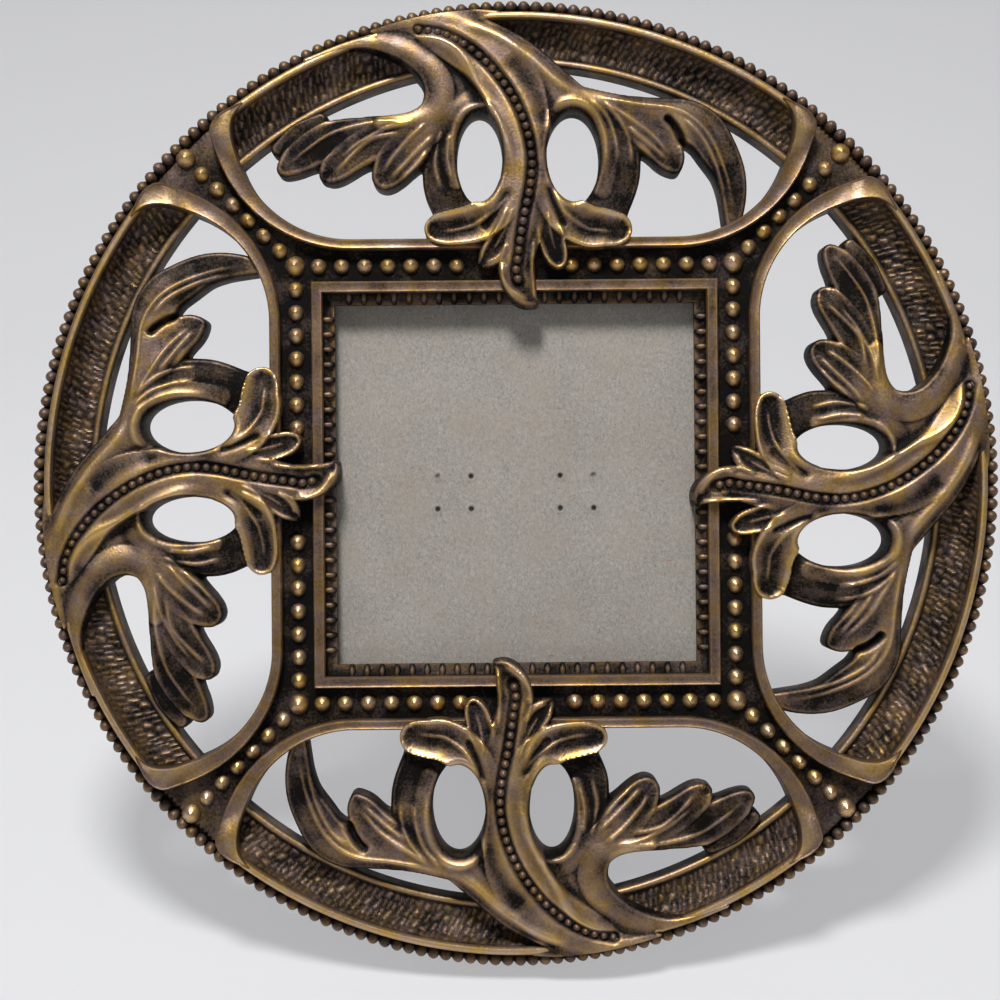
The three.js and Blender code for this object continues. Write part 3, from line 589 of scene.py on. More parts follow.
def fit(obj, body, slot, *nodes):
    """Gives a piece the finish of its slot, its body and the CAD nodes that it stands for."""
    obj.data.materials.clear()
    obj.data.materials.append(finish(slot))
    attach(obj, body)
    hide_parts(*nodes)


def cast(obj):
    """Fits a piece of the bronze casting."""
    fit(obj, "frame", "bronze", "frame_casting")


def loft(rings, round_path=False):
    """Skin over rings of points; the rings close on themselves, and the path too if it is round."""
    rings = np.asarray(rings, float)
    count, size = rings.shape[:2]
    index = np.arange(count * size).reshape(count, size)
    here = index if round_path else index[:-1]
    ahead = np.roll(index, -1, 0) if round_path else index[1:]
    quads = np.stack([here, np.roll(here, -1, 1), np.roll(ahead, -1, 1), ahead], -1)
    faces = [quads.reshape(-1, 4)]
    if not round_path:
        faces += [index[:1, ::-1], index[-1:]]
    return rings.reshape(-1, 3), faces


def smooth_path(rows, spacing):
    """Close points on a smooth curve through the rows."""
    rows = np.asarray(rows, float)
    ends = np.vstack([2 * rows[0] - rows[1], rows, 2 * rows[-1] - rows[-2]])
    out = []
    for p0, p1, p2, p3 in zip(ends, ends[1:], ends[2:], ends[3:]):
        steps = max(2, int(np.hypot(*(p2 - p1)[:2]) / spacing))
        t = np.linspace(0, 1, steps, endpoint=False)[:, None]
        out.append(0.5 * (2 * p1 + (p2 - p0) * t + (2 * p0 - 5 * p1 + 4 * p2 - p3) * t ** 2
                          + (3 * p1 - p0 - 3 * p2 + p3) * t ** 3))
    return np.vstack(out + [rows[-1:]])


def even_spots(points, pitch):
    """Spots a pitch apart on a smooth curve through the points."""
    line = smooth_path(points, 0.1)
    reach = path_reach(line)
    at = np.arange(0, reach[-1], pitch)
    return np.column_stack([np.interp(at, reach, line[:, 0]), np.interp(at, reach, line[:, 1])])


def outline_faces(inside, node, across, upward):
    """Faces of a grid cut along an outline, and the cut's edges with the slab on their left."""
    corner = [node[:-1, :-1], node[:-1, 1:], node[1:, 1:], node[1:, :-1]]
    edge = [across[:-1], upward[:, 1:], across[1:], upward[:, :-1]]
    bits = [inside[:-1, :-1], inside[:-1, 1:], inside[1:, 1:], inside[1:, :-1]]
    case = sum(bit.astype(int) << k for k, bit in enumerate(bits))
    faces, cuts = [], []
    for value in range(1, 16):
        cells = case == value
        if not cells.any():
            continue
        ring, leaving = [], []
        for k in range(4):
            is_in, next_in = value >> k & 1, value >> (k + 1) % 4 & 1
            if is_in:
                ring.append(corner[k][cells])
            if is_in != next_in:
                if is_in:
                    leaving.append(len(ring))
                ring.append(edge[k][cells])
        faces.append(np.stack(ring, -1))
        cuts += [np.stack([ring[k], ring[(k + 1) % len(ring)]], -1) for k in leaving]
    return faces, np.concatenate(cuts)


def flat_fill(spots, edges):
    """Triangles that fill the outlines given by edges between flat spots."""
    bm = bmesh.new()
    verts = [bm.verts.new((x, y, 0)) for x, y in spots]
    bm.verts.index_update()
    for a, b in edges:
        bm.edges.new((verts[a], verts[b]))
    bmesh.ops.triangle_fill(bm, use_beauty=True, edges=bm.edges[:], normal=(0, 0, 1))
    triangles = np.array([[vert.index for vert in face.verts] for face in bm.faces])
    bm.free()
    a, b, c = (spots[triangles[:, k]] for k in range(3))
    facing_up = np.cross(b - a, c - a) > 0
    triangles[facing_up] = triangles[facing_up][:, ::-1]
    return triangles


def slab(xs, ys, cover, height, wear, back):
    """Closed slab with a shaped front, cut out where cover falls below nought."""
    nearest_cut, back_wear = 0.08, 0.1
    inside = cover > 0
    grid = np.stack([*np.meshgrid(xs, ys), height, wear], -1)
    node = np.where(inside, np.cumsum(inside).reshape(inside.shape) - 1, -1)
    spots = [grid[inside]]
    count = rim = len(spots[0])
    index = []
    for axis in (1, 0):
        first = tuple(slice(None, -1) if k == axis else slice(None) for k in (0, 1))
        second = tuple(slice(1, None) if k == axis else slice(None) for k in (0, 1))
        cut = inside[first] != inside[second]
        share = cover[first][cut] / (cover[first] - cover[second])[cut]
        share = np.clip(share, nearest_cut, 1 - nearest_cut)[:, None]
        spots.append(grid[first][cut] * (1 - share) + grid[second][cut] * share)
        index.append(np.where(cut, count + np.cumsum(cut).reshape(cut.shape) - 1, -1))
        count += int(cut.sum())
    faces, cuts = outline_faces(inside, node, *index)
    front = np.concatenate(spots)
    behind = front[rim:].copy()
    behind[:, 2:] = back, back_wear
    drop = len(front) - rim
    walls = np.stack([cuts[:, 1], cuts[:, 0], cuts[:, 0] + drop, cuts[:, 1] + drop], -1)
    fill = flat_fill(behind[:, :2], cuts - rim) + len(front)
    whole = np.concatenate([front, behind])
    return whole[:, :3], faces + [walls, fill], whole[:, 3]


def blur(values, inside, reach):
    """Mean of the values near each point of a grid, over the inside alone."""
    taps = np.arange(-int(2.5 * reach), int(2.5 * reach) + 1)
    weights = np.exp(-0.5 * (taps / reach) ** 2)
    total, share = np.where(inside, values, 0.0), inside.astype(float)
    for axis in (0, 1):
        total = sum(w * np.roll(total, k, axis) for k, w in zip(taps, weights))
        share = sum(w * np.roll(share, k, axis) for k, w in zip(taps, weights))
    return total / np.maximum(share, 1e-9)


def window(x, y, low, high):
    """Part of a grid between two corners."""
    columns = (x[0] >= low[0]) & (x[0] <= high[0])
    rows = (y[:, 0] >= low[1]) & (y[:, 0] <= high[1])
    return np.ix_(rows, columns)


def nearest(x, y, line, halves):
    """How far each spot lies inside the circles along a line, and which circle holds it best."""
    best = np.full(x.shape, -99.0)
    which = np.zeros(x.shape, int)
    for k, ((px, py), half) in enumerate(zip(line, halves)):
        reach = half - np.hypot(x - px, y - py)
        closer = reach > best
        best[closer] = reach[closer]
        which[closer] = k
    return best, which


def lobe_field(x, y, rows, fall, dish):
    """Cover and height of one lobe over a grid."""
    line = smooth_path(rows, 0.4)
    along = unit(np.gradient(line[:, :2], axis=0))
    best, which = nearest(x, y, line[:, :2], line[:, 2])
    px, py, half, top = np.moveaxis(line[which], -1, 0)
    offset = ((y - py) * along[which, 0] - (x - px) * along[which, 1]) / half
    side = np.minimum(np.maximum(np.abs(offset), 1 - best / half), 1.4)
    share = which / (len(line) - 1)
    height = top - fall * side ** 2.2
    height -= dish * smooth_step(share, 0.4, 0.8) * np.clip(1 - side ** 2, 0, 1)
    return best, height - 4 * np.maximum(-best, 0)


def cut_line(x, y, height, depth, half, points):
    """Cuts a hollow into a height along a curve, fading at both ends; in the wear, painted shade.
    """
    line = smooth_path(points, 0.3)
    margin = 4 * half
    part = window(x, y, line.min(0) - margin, line.max(0) + margin)
    best, which = nearest(x[part], y[part], line, np.zeros(len(line)))
    share = which / (len(line) - 1)
    fade = np.minimum(smooth_step(share, -0.02, 0.15), smooth_step(1 - share, -0.02, 0.2))
    height[part] -= depth * fade * np.exp(-(best / half) ** 2)


def sprig_field():
    """Grid, cover, height, and wear with painted shade, of one sprig."""
    step = sizes().relief_step / MM
    xs, ys = np.arange(*SPRIG_X, step), np.arange(*SPRIG_Y, step)
    x, y = np.meshgrid(xs, ys)
    cover_sum = np.full(x.shape, 1e-30)
    height_sum = np.full(x.shape, 1e-30)
    for fall, dish, rows in LOBES.values():
        rows = np.array(rows)
        low, high = rows[:, :2] - rows[:, 2:3], rows[:, :2] + rows[:, 2:3]
        part = window(x, y, low.min(0) - LOBE_MARGIN, high.max(0) + LOBE_MARGIN)
        cover, height = lobe_field(x[part], y[part], rows, fall, dish)
        cover_sum[part] += np.exp(cover / LOBE_BLEND)
        height_sum[part] += np.exp((height - LOBE_TOP) / LOBE_SEAM)
    cover = LOBE_BLEND * np.log(cover_sum)
    height = np.maximum(LOBE_TOP + LOBE_SEAM * np.log(height_sum), 3)
    for middle_x, middle_y, half_width, half_height in OVALS:
        reach = np.hypot((x - middle_x) / half_width, (y - middle_y) / half_height)
        cover = np.minimum(cover, half_width * (reach - 1))
    for depth, half, points in HOLLOWS:
        cut_line(x, y, height, depth, half, points)
    for points in VEINS:
        cut_line(x, y, height, -VEIN_HEIGHT, VEIN_HALF, points)
    channel = smooth_path(STEM_LINE, 0.3)
    best, _ = nearest(x, y, channel, np.zeros(len(channel)))
    height -= CHANNEL_DEPTH * np.exp(-(best / CHANNEL_HALF) ** 4)
    height += 0.14 * np.exp(-((cover - 0.6) / 0.35) ** 2)
    inside = cover > 0
    fine = height - blur(height, inside, 0.9 / step)
    broad = height - blur(height, inside, 3.2 / step)
    wear = 0.34 + 1.3 * fine + 0.3 * broad + 0.07 * (height - 9.2)
    wear += 0.22 * np.exp(-((cover - 0.45) / 0.3) ** 2)
    # Painted shade along the listed lines darkens the wear.
    for amount, half, points in PAINTED_SHADES:
        cut_line(x, y, wear, amount, half, points)
    short = np.clip(EDGE_ROUNDING - cover, 0, EDGE_ROUNDING)
    height = height - EDGE_ROUNDING + np.sqrt(EDGE_ROUNDING ** 2 - short ** 2)
    cover = np.minimum(cover, BAND_OUTER + 0.4 - np.hypot(x, y))
    return xs, ys, cover, height, np.clip(wear, 0.02, 1)


def lunette_reach(x, y, half, bottom, corner, rim):
    """Distance inside a lunette of the upper quarter, below nought outside."""
    over = np.abs(x) - (half - corner)
    under = bottom + corner - y
    rounded = corner - np.hypot(np.maximum(over, 0), np.maximum(under, 0))
    flat = np.minimum(half - np.abs(x), y - bottom)
    sides = np.where((over > 0) & (under > 0), rounded, flat)
    return np.minimum(sides, rim - np.hypot(x, y))


def border_angle(radius):
    """Angle from a lunette's middle to its border, at a distance from the frame's middle."""
    angles = np.linspace(0, math.pi / 4, 400)
    half, bottom = (OPENING_HALF + RIDGE_HALF) / 2, (OPENING_BOTTOM + RIDGE_BOTTOM) / 2
    corner = (OPENING_CORNER + RIDGE_CORNER) / 2
    inside = lunette_reach(radius * np.sin(angles), radius * np.cos(angles), half, bottom, corner,
                           RIM_RADIUS)
    return angles[np.argmax(inside < 0)]


def add_node(tree, kind, **settings):
    """New node of a tree, with its settings."""
    node = tree.nodes.new(kind)
    for key, value in settings.items():
        setattr(node, key, value)
    return node


def join(tree, value, socket):
    """Links a value to a socket, or sets it there if it is plain."""
    if isinstance(value, bpy.types.NodeSocket):
        tree.links.new(value, socket)
    else:
        socket.default_value = value


def studs_tree():
    """Node tree that sets a rounded stud on every point, along the point's own axis."""
    tree = bpy.data.node_groups.new("rounded_studs", "GeometryNodeTree")
    tree.interface.new_socket("Geometry", in_out="INPUT", socket_type="NodeSocketGeometry")
    for name, kind in (("Length", "Float"), ("Radius", "Float"), ("Sides", "Int"),
                       ("Rings", "Int"), ("Fullness", "Float"), ("Finish", "Material")):
        tree.interface.new_socket(name, in_out="INPUT", socket_type="NodeSocket" + kind)
    tree.interface.new_socket("Geometry", in_out="OUTPUT", socket_type="NodeSocketGeometry")
    given = add_node(tree, "NodeGroupInput").outputs
    result = add_node(tree, "NodeGroupOutput")

    def calc(operation, *values):
        node = add_node(tree, "ShaderNodeMath", operation=operation)
        for socket, value in zip(node.inputs, values):
            join(tree, value, socket)
        return node.outputs[0]

    def step(kind, **links):
        node = add_node(tree, kind)
        for name, value in links.items():
            join(tree, value, node.inputs[name.replace("_", " ")])
        return node.outputs[0]

    def named(name):
        node = add_node(tree, "GeometryNodeInputNamedAttribute", data_type="FLOAT_VECTOR")
        node.inputs["Name"].default_value = name
        return node.outputs["Attribute"]

    line = step("GeometryNodeCurvePrimitiveLine", End=(0, 0, 1))
    spine = step("GeometryNodeResampleCurve", Curve=line, Count=given["Rings"])
    factor = add_node(tree, "GeometryNodeSplineParameter").outputs["Factor"]
    angle = calc("MULTIPLY", factor, math.pi)
    power = calc("DIVIDE", 2.0, given["Fullness"])
    cosine = calc("COSINE", angle)
    lift = calc("MULTIPLY", calc("SIGN", cosine), calc("POWER", calc("ABSOLUTE", cosine), power))
    height = calc("MULTIPLY", calc("MULTIPLY", lift, -0.5), given["Length"])
    sine = calc("MAXIMUM", calc("SINE", angle), 0.0)
    radius = calc("MULTIPLY", calc("POWER", sine, power), given["Radius"])
    spot = step("ShaderNodeCombineXYZ", Z=height)
    moved = step("GeometryNodeSetPosition", Geometry=spine, Position=spot)
    ring = step("GeometryNodeCurvePrimitiveCircle", Resolution=given["Sides"], Radius=1.0)
    skin = step("GeometryNodeCurveToMesh", Curve=moved, Profile_Curve=ring, Scale=radius)
    merged = step("GeometryNodeMergeByDistance", Geometry=skin, Distance=1e-6)
    turned = step("FunctionNodeAxesToRotation", Primary_Axis=named("axis"),
                  Secondary_Axis=named("across"))
    turned.node.primary_axis, turned.node.secondary_axis = "Z", "X"
    studded = step("GeometryNodeInstanceOnPoints", Points=given["Geometry"], Instance=merged,
                   Rotation=turned, Scale=named("stretch"))
    real = step("GeometryNodeRealizeInstances", Geometry=studded)
    finished = step("GeometryNodeSetMaterial", Geometry=real, Material=given["Finish"])
    tree.links.new(finished, result.inputs[0])
    return tree


def studs(name, spots, axes, across, stretch, length, radius, fullness):
    """Bronze studs at spots on the frame, with their axes in the frame's directions."""
    tree = bpy.data.node_groups.get("rounded_studs") or studs_tree()
    mesh = bpy.data.meshes.new(name + "_points")
    mesh.vertices.add(len(spots))
    mesh.vertices.foreach_set("co", place(spots).ravel())
    vectors = {
        "axis": np.asarray(axes) @ AXES, "across": np.asarray(across) @ AXES, "stretch": stretch,
    }
    for label, rows in vectors.items():
        values = np.broadcast_to(rows, (len(spots), 3)).astype(np.float32)
        attribute = mesh.attributes.new(label, "FLOAT_VECTOR", "POINT")
        attribute.data.foreach_set("vector", values.ravel())
    carrier = link(name + "_carrier", mesh)
    modifier = carrier.modifiers.new("studs", "NODES")
    modifier.node_group = tree
    inputs = {
        "Length": length * MM, "Radius": radius * MM, "Sides": STUD_SIDES, "Rings": STUD_RINGS,
        "Fullness": fullness, "Finish": finish("bronze"),
    }
    for item in tree.interface.items_tree:
        if item.in_out == "INPUT" and item.name in inputs:
            modifier[item.identifier] = inputs[item.name]
    plain = settled_mesh(carrier)
    plain.name = name
    bpy.data.objects.remove(carrier)
    for label in vectors:
        if label in plain.attributes:
            plain.attributes.remove(plain.attributes[label])
    plain.shade_smooth()
    plain.set_sharp_from_angle(angle=math.radians(50))
    return link(name, plain)


def points_of(obj):
    """Points of an object on the frame, in millimetres."""
    spots = np.empty(3 * len(obj.data.vertices), np.float32)
    obj.data.vertices.foreach_get("co", spots)
    return (spots.reshape(-1, 3) - ORIGIN) @ AXES.T / MM


def plate(outline, low, high, bevel, wear=0.5):
    """Flat plate with eased edges over a convex or gently waisted outline."""
    outline = np.asarray(outline, float)
    ahead = unit(np.roll(outline, -1, 0) - outline)
    behind = unit(outline - np.roll(outline, 1, 0))
    normal = left_of(ahead + behind)
    normal /= np.maximum((normal * left_of(ahead)).sum(1), 1e-6)[:, None]
    ease = bevel * 0.3
    rings = []
    for inset, z in ((bevel, low), (ease, low + ease), (0, low + bevel),
                     (0, high - bevel), (ease, high - ease), (bevel, high)):
        spots = outline + inset * normal
        rings.append(np.column_stack([spots, np.full(len(spots), z)]))
    return *loft(rings), wear


class Finish:
    """Material under construction: its principled shader and the ways to feed it."""

    def __init__(self, name, colour, metallic, roughness):
        self.material = bpy.data.materials.new(name)
        self.material.use_nodes = True
        self.material.diffuse_color = (*colour, 1)
        self.tree = self.material.node_tree
        self.bsdf = self.tree.nodes["Principled BSDF"]
        self.feed("Base Color", (*colour, 1))
        self.feed("Metallic", metallic)
        self.feed("Roughness", roughness)

    def feed(self, name, value):
        """Gives the shader a value, plain or from a node."""
        join(self.tree, value, self.bsdf.inputs[name])

    def node(self, kind, **settings):
        return add_node(self.tree, kind, **settings)

    def wear(self):
        """Wear and painted shade of the mesh."""
        return self.node("ShaderNodeAttribute", attribute_name="wear").outputs["Fac"]

    def noise(self, size, detail=4.0, stretch=(1, 1, 1), roughness=0.55, distortion=0.0):
        """Noise whose spots are about size millimetres across."""
        where = self.tree.nodes.get("Where") or self.node("ShaderNodeTexCoord", name="Where")
        mapping = self.node("ShaderNodeMapping")
        join(self.tree, stretch, mapping.inputs["Scale"])
        join(self.tree, where.outputs["Object"], mapping.inputs["Vector"])
        node = self.node("ShaderNodeTexNoise")
        for name, value in (("Vector", mapping.outputs[0]), ("Scale", 1 / (size * MM)),
                            ("Detail", detail), ("Roughness", roughness),
                            ("Distortion", distortion)):
            join(self.tree, value, node.inputs[name])
        return node.outputs["Fac"]

    def remap(self, value, low, high, first, last):
        """Value that runs from first to last as another runs from low to high."""
        node = self.node("ShaderNodeMapRange", clamp=True)
        for name, source in (("Value", value), ("From Min", low), ("From Max", high),
                             ("To Min", first), ("To Max", last)):
            join(self.tree, source, node.inputs[name])
        return node.outputs[0]

    def add(self, *values):
        """Sum of values."""
        total = values[0]
        for value in values[1:]:
            node = self.node("ShaderNodeMath", operation="ADD")
            join(self.tree, total, node.inputs[0])
            join(self.tree, value, node.inputs[1])
            total = node.outputs[0]
        return total

    def ramp(self, value, stops):
        """Colour that follows a value through stops."""
        node = self.node("ShaderNodeValToRGB")
        for _ in stops[2:]:
            node.color_ramp.elements.new(0.5)
        for element, (position, colour) in zip(node.color_ramp.elements, stops):
            element.position = position
            element.color = (*colour, 1)
        join(self.tree, value, node.inputs[0])
        return node.outputs["Color"]

    def mix(self, share, first, second):
        """Colour between two, each from a node or plain."""
        factor, colour_a, colour_b, colour_out = 0, 6, 7, 2
        node = self.node("ShaderNodeMix", data_type="RGBA")
        join(self.tree, share, node.inputs[factor])
        for index, value in ((colour_a, first), (colour_b, second)):
            plain = not isinstance(value, bpy.types.NodeSocket)
            join(self.tree, (*value, 1) if plain else value, node.inputs[index])
        return node.outputs[colour_out]

    def bump(self, height, depth):
        """Bump of a depth in millimetres."""
        node = self.node("ShaderNodeBump")
        for name, value in (("Strength", 1.0), ("Distance", depth * MM), ("Height", height)):
            join(self.tree, value, node.inputs[name])
        self.feed("Normal", node.outputs[0])


def shade(colour, factor):
    """Colour multiplied by one factor, or by one for each channel."""
    return tuple(float(channel) for channel in np.multiply(colour, factor))


def between(first, second, share):
    """Colour part of the way from one to another."""
    return tuple(a + (b - a) * share for a, b in zip(first, second))


def antique_bronze(name):
    """Dark bronze, rubbed gold where worn, dark in painted shade, in clouds of yellow and mauve."""
    gold, copper, recess = (colour_of(tone) for tone in ("gold", "copper", "recess"))
    bronze = Finish(name, copper, 0.9, 0.42)
    wear = bronze.wear()
    speckle = bronze.remap(bronze.noise(0.5), 0.3, 0.7, -0.1, 0.1)
    patches = bronze.remap(bronze.noise(6.0), 0.3, 0.7, -0.14, 0.14)
    # The wear carries painted shade from the sprigs, so this value does too.
    rubbed = bronze.add(wear, speckle, patches)
    stops = [
        (0.0, recess), (0.16, between(recess, copper, 0.22)), (0.4, copper),
        (0.68, between(copper, gold, 0.45)), (1.0, gold),
    ]
    yellow, mauve = [
        bronze.ramp(rubbed, [(at, shade(colour, tint)) for at, colour in stops])
        for tint in ((1.07, 0.97, 0.55), (0.98, 1.01, 1.45))
    ]
    cloud = bronze.remap(bronze.noise(4.5, 6.0, roughness=0.65), 0.32, 0.68, -0.1, 1.1)
    cloud = bronze.add(cloud, bronze.remap(rubbed, 0.1, 0.8, 0.12, -0.12))
    metal = bronze.mix(cloud, yellow, mauve)
    bloom = bronze.remap(bronze.noise(2.2, 6.0, distortion=0.6), 0.69, 0.78, 0.0, 0.35)
    bronze.feed("Base Color", bronze.mix(bloom, metal, colour_of("bloom")))
    bronze.feed("Metallic", bronze.remap(rubbed, 0.05, 0.5, 0.25, 0.95))
    bronze.feed("Specular IOR Level", bronze.remap(rubbed, 0.0, 0.4, 0.06, 0.5))
    grain = bronze.remap(bronze.noise(0.5, 6.0), 0.25, 0.75, -0.08, 0.1)
    bronze.feed("Roughness", bronze.add(bronze.remap(rubbed, 0.0, 1.0, 0.6, 0.4), grain))
    bronze.bump(bronze.noise(0.45, 5.0), 0.07)
    return bronze.material


def clear_glass(name):
    """Thin clear glass with faint smears."""
    glass = Finish(name, colour_of("glass"), 0.0, 0.03)
    glass.feed("Alpha", 0.03)
    glass.feed("Roughness", glass.remap(glass.noise(14.0), 0.35, 0.75, 0.02, 0.07))
    return glass.material


def chipboard(name):
    """Grey board, pale and dark fibres, a few red; painted shade and stains at the prong holes."""
    grey = colour_of("board")
    board = Finish(name, grey, 0.0, 0.92)
    board.feed("Specular IOR Level", 0.15)
    fibres = board.add(
        board.remap(board.noise(0.7, 5.0, (1.5, 1, 1), distortion=0.8), 0.3, 0.7, 0.0, 0.55),
        board.remap(board.noise(0.3, 3.0), 0.3, 0.7, 0.0, 0.3),
        board.remap(board.noise(16.0, 2.0), 0.3, 0.7, 0.0, 0.15),
    )
    stops = [(0.1, shade(grey, 0.66)), (0.5, grey), (0.9, shade(grey, 1.34))]
    tone = board.ramp(fibres, stops)
    warm = board.remap(board.noise(9.0, 3.0), 0.45, 0.75, 0.0, 0.5)
    tone = board.mix(warm, tone, shade(grey, (1.04, 0.97, 0.88)))
    red = board.noise(2.4, 1.0, (0.35, 2.6, 2.6), distortion=1.6)
    tone = board.mix(board.remap(red, 0.765, 0.785, 0.0, 0.6), tone, colour_of("red_fibre"))
    board.feed("Base Color", board.mix(board.wear(), tone, colour_of("prong_shade_and_stain")))
    board.bump(fibres, 0.08)
    return board.material


def black_paper(name):
    """Black paper with an embossed grain, rubbed a little grey."""
    dark = colour_of("paper")
    paper = Finish(name, dark, 0.0, 0.7)
    paper.feed("Specular IOR Level", 0.35)
    grain = paper.noise(0.8, 3.0)
    rub = paper.remap(paper.noise(11.0, 5.0), 0.45, 0.75, 0.0, 0.6)
    tone = paper.ramp(grain, [(0.3, shade(dark, 0.6)), (0.7, shade(dark, 1.5))])
    paper.feed("Base Color", paper.mix(rub, tone, shade(dark, 2.6)))
    paper.feed("Roughness", paper.remap(grain, 0.3, 0.7, 0.78, 0.58))
    paper.bump(grain, 0.1)
    return paper.material


def drawn_metal(name, colour, roughness):
    """Bright metal with fine drawn lines, dull spots and darker rubbing."""
    metal = Finish(name, colour, 1.0, roughness)
    drawn = metal.noise(0.35, 3.0, (0.12, 1.0, 1.0))
    spots = metal.noise(2.6, 5.0)
    stops = [(0.25, shade(colour, 0.55)), (0.5, colour), (0.8, shade(colour, 1.12))]
    metal.feed("Base Color", metal.ramp(spots, stops))
    lines = metal.remap(drawn, 0.3, 0.7, roughness - 0.08, roughness + 0.08)
    metal.feed("Roughness", metal.add(lines, metal.remap(spots, 0.3, 0.6, 0.15, 0.0)))
    metal.bump(drawn, 0.015)
    return metal.material


def brassed_steel(name):
    return drawn_metal(name, colour_of("brass"), 0.32)


def steel_wire(name):
    return drawn_metal(name, colour_of("wire"), 0.28)


# Name of each slot's material, and what makes it.
FINISHES = {
    "bronze": ("antique_bronze", antique_bronze),
    "glass": ("clear_glass", clear_glass),
    "grey_board": ("chipboard", chipboard),
    "black_paper": ("facing_paper", black_paper),
    "black_board": ("strut_paper", black_paper),
    "brassed_steel": ("brassed_steel", brassed_steel),
    "wire": ("steel_wire", steel_wire),
}


def finish(slot):
    """Material of a slot, made when it is first asked for."""
    name, make = FINISHES[slot]
    return bpy.data.materials.get(name) or make(name)


class PieceOperator:
    """What every operator of the frame shares."""

    bl_options = {"REGISTER", "UNDO"}

    def execute(self, context):
        self.make()
        return {"FINISHED"}


class FRAME_OT_ground(PieceOperator, Operator):
    """Cast the dark ground of the arms and the bead channel"""

    bl_idname = "picture_frame.ground"
    bl_label = "Ground"

    def make(self):
        spots = np.arange(-RIM_RADIUS, RIM_RADIUS + GROUND_STEP / 2, GROUND_STEP)
        x, y = np.meshgrid(spots, spots)
        reach = np.hypot(x, y)
        channel = np.maximum(np.abs(x), np.abs(y)) - GROUND_HOLE
        cover = np.minimum(GROUND_RADIUS - reach, channel)
        for quarter in QUARTERS:
            turned = turn(np.stack([x, y], -1), quarter)
            hole = lunette_reach(turned[..., 0], turned[..., 1], OPENING_HALF + 0.4,
                                 OPENING_BOTTOM + 0.3, OPENING_CORNER, BAND_OUTER - 1)
            cover = np.minimum(cover, -hole)
        near_rim = smooth_step(reach, 84, 96)
        height = GROUND + 0.25 * near_rim - 2.2 * smooth_step(reach, 96.3, 97)
        part = slab(spots, spots, cover, height, 0.22 * near_rim, 0.0)
        cast(piece("casting_ground", [part]))


class FRAME_OT_rim_bands(PieceOperator, Operator):
    """Turn the rim fillet, the scaled cove and the inner fillet of each lunette"""

    bl_idname = "picture_frame.rim_bands"
    bl_label = "Rim bands"

    def make(self):
        inner = [(BAND_INNER + reach, height, worn) for reach, height, worn in INNER_FILLET]
        outer = [(BAND_OUTER + reach, height, worn) for reach, height, worn in OUTER_FILLET]
        t = np.linspace(0, 1, COVE_POINTS)[:, None]
        start, bend, end = np.array(COVE)
        cove = (1 - t) ** 2 * start + 2 * t * (1 - t) * bend + t ** 2 * end
        normal = unit(left_of(np.gradient(cove, axis=0)))
        down = path_reach(cove)
        profile = np.array(inner + [(*spot, 0.2) for spot in cove] + outer)
        span = slice(len(inner), len(inner) + len(cove))
        ends = np.array([border_angle(radius) for radius in profile[:, 0]])
        angles = math.pi / 2 + np.linspace(-1, 1, BAND_STATIONS)[:, None] * ends
        scale = self.scales(angles[:, span] * (BAND_INNER + BAND_OUTER) / 2, down)
        section = np.repeat(profile[None], len(angles), 0)
        section[:, span, :2] += SCALE_HEIGHT * scale[..., None] * normal
        section[:, span, 2] = 0.07 + 0.5 * scale + 0.08 * smooth_step(down, 5, 8)
        radius, height, wear = np.moveaxis(section, -1, 0)
        rings = np.stack([radius * np.cos(angles), radius * np.sin(angles), height], -1)
        spots, faces = loft(rings)
        for quarter in QUARTERS:
            part = (turn(spots, quarter), faces, wear.ravel())
            cast(piece(f"rim_band_{quarter + 1}", [part]))

    def scales(self, length, down):
        """Raised strokes in uneven rows, by the length along the cove and the way down it."""
        rows = down / SCALE_ROW + 0.2 * np.sin(1.1 * length) + 0.14 * np.sin(2.9 * length + 1.7)
        row = np.floor(rows)
        within = rows - row - 0.5
        jog = 0.5 * (row % 2) + 0.13 * np.sin(5.1 * row)
        wobble = 0.26 * np.sin(0.9 * length + 2.2 * row) + 0.2 * np.sin(0.37 * length + row)
        phase = length / SCALE_PITCH + jog + 0.6 * within + wobble
        part = phase - np.floor(phase) - 0.5
        scale = np.exp(-(part / 0.22) ** 2) * np.clip(1 - (2 * within) ** 4, 0, 1)
        scale = scale * (0.8 + 0.2 * np.sin(2.3 * length + 3.7 * row))
        fade = smooth_step(down, 0.0, 0.5) * smooth_step(down[-1] - down, 0.0, 0.5)
        return scale * fade


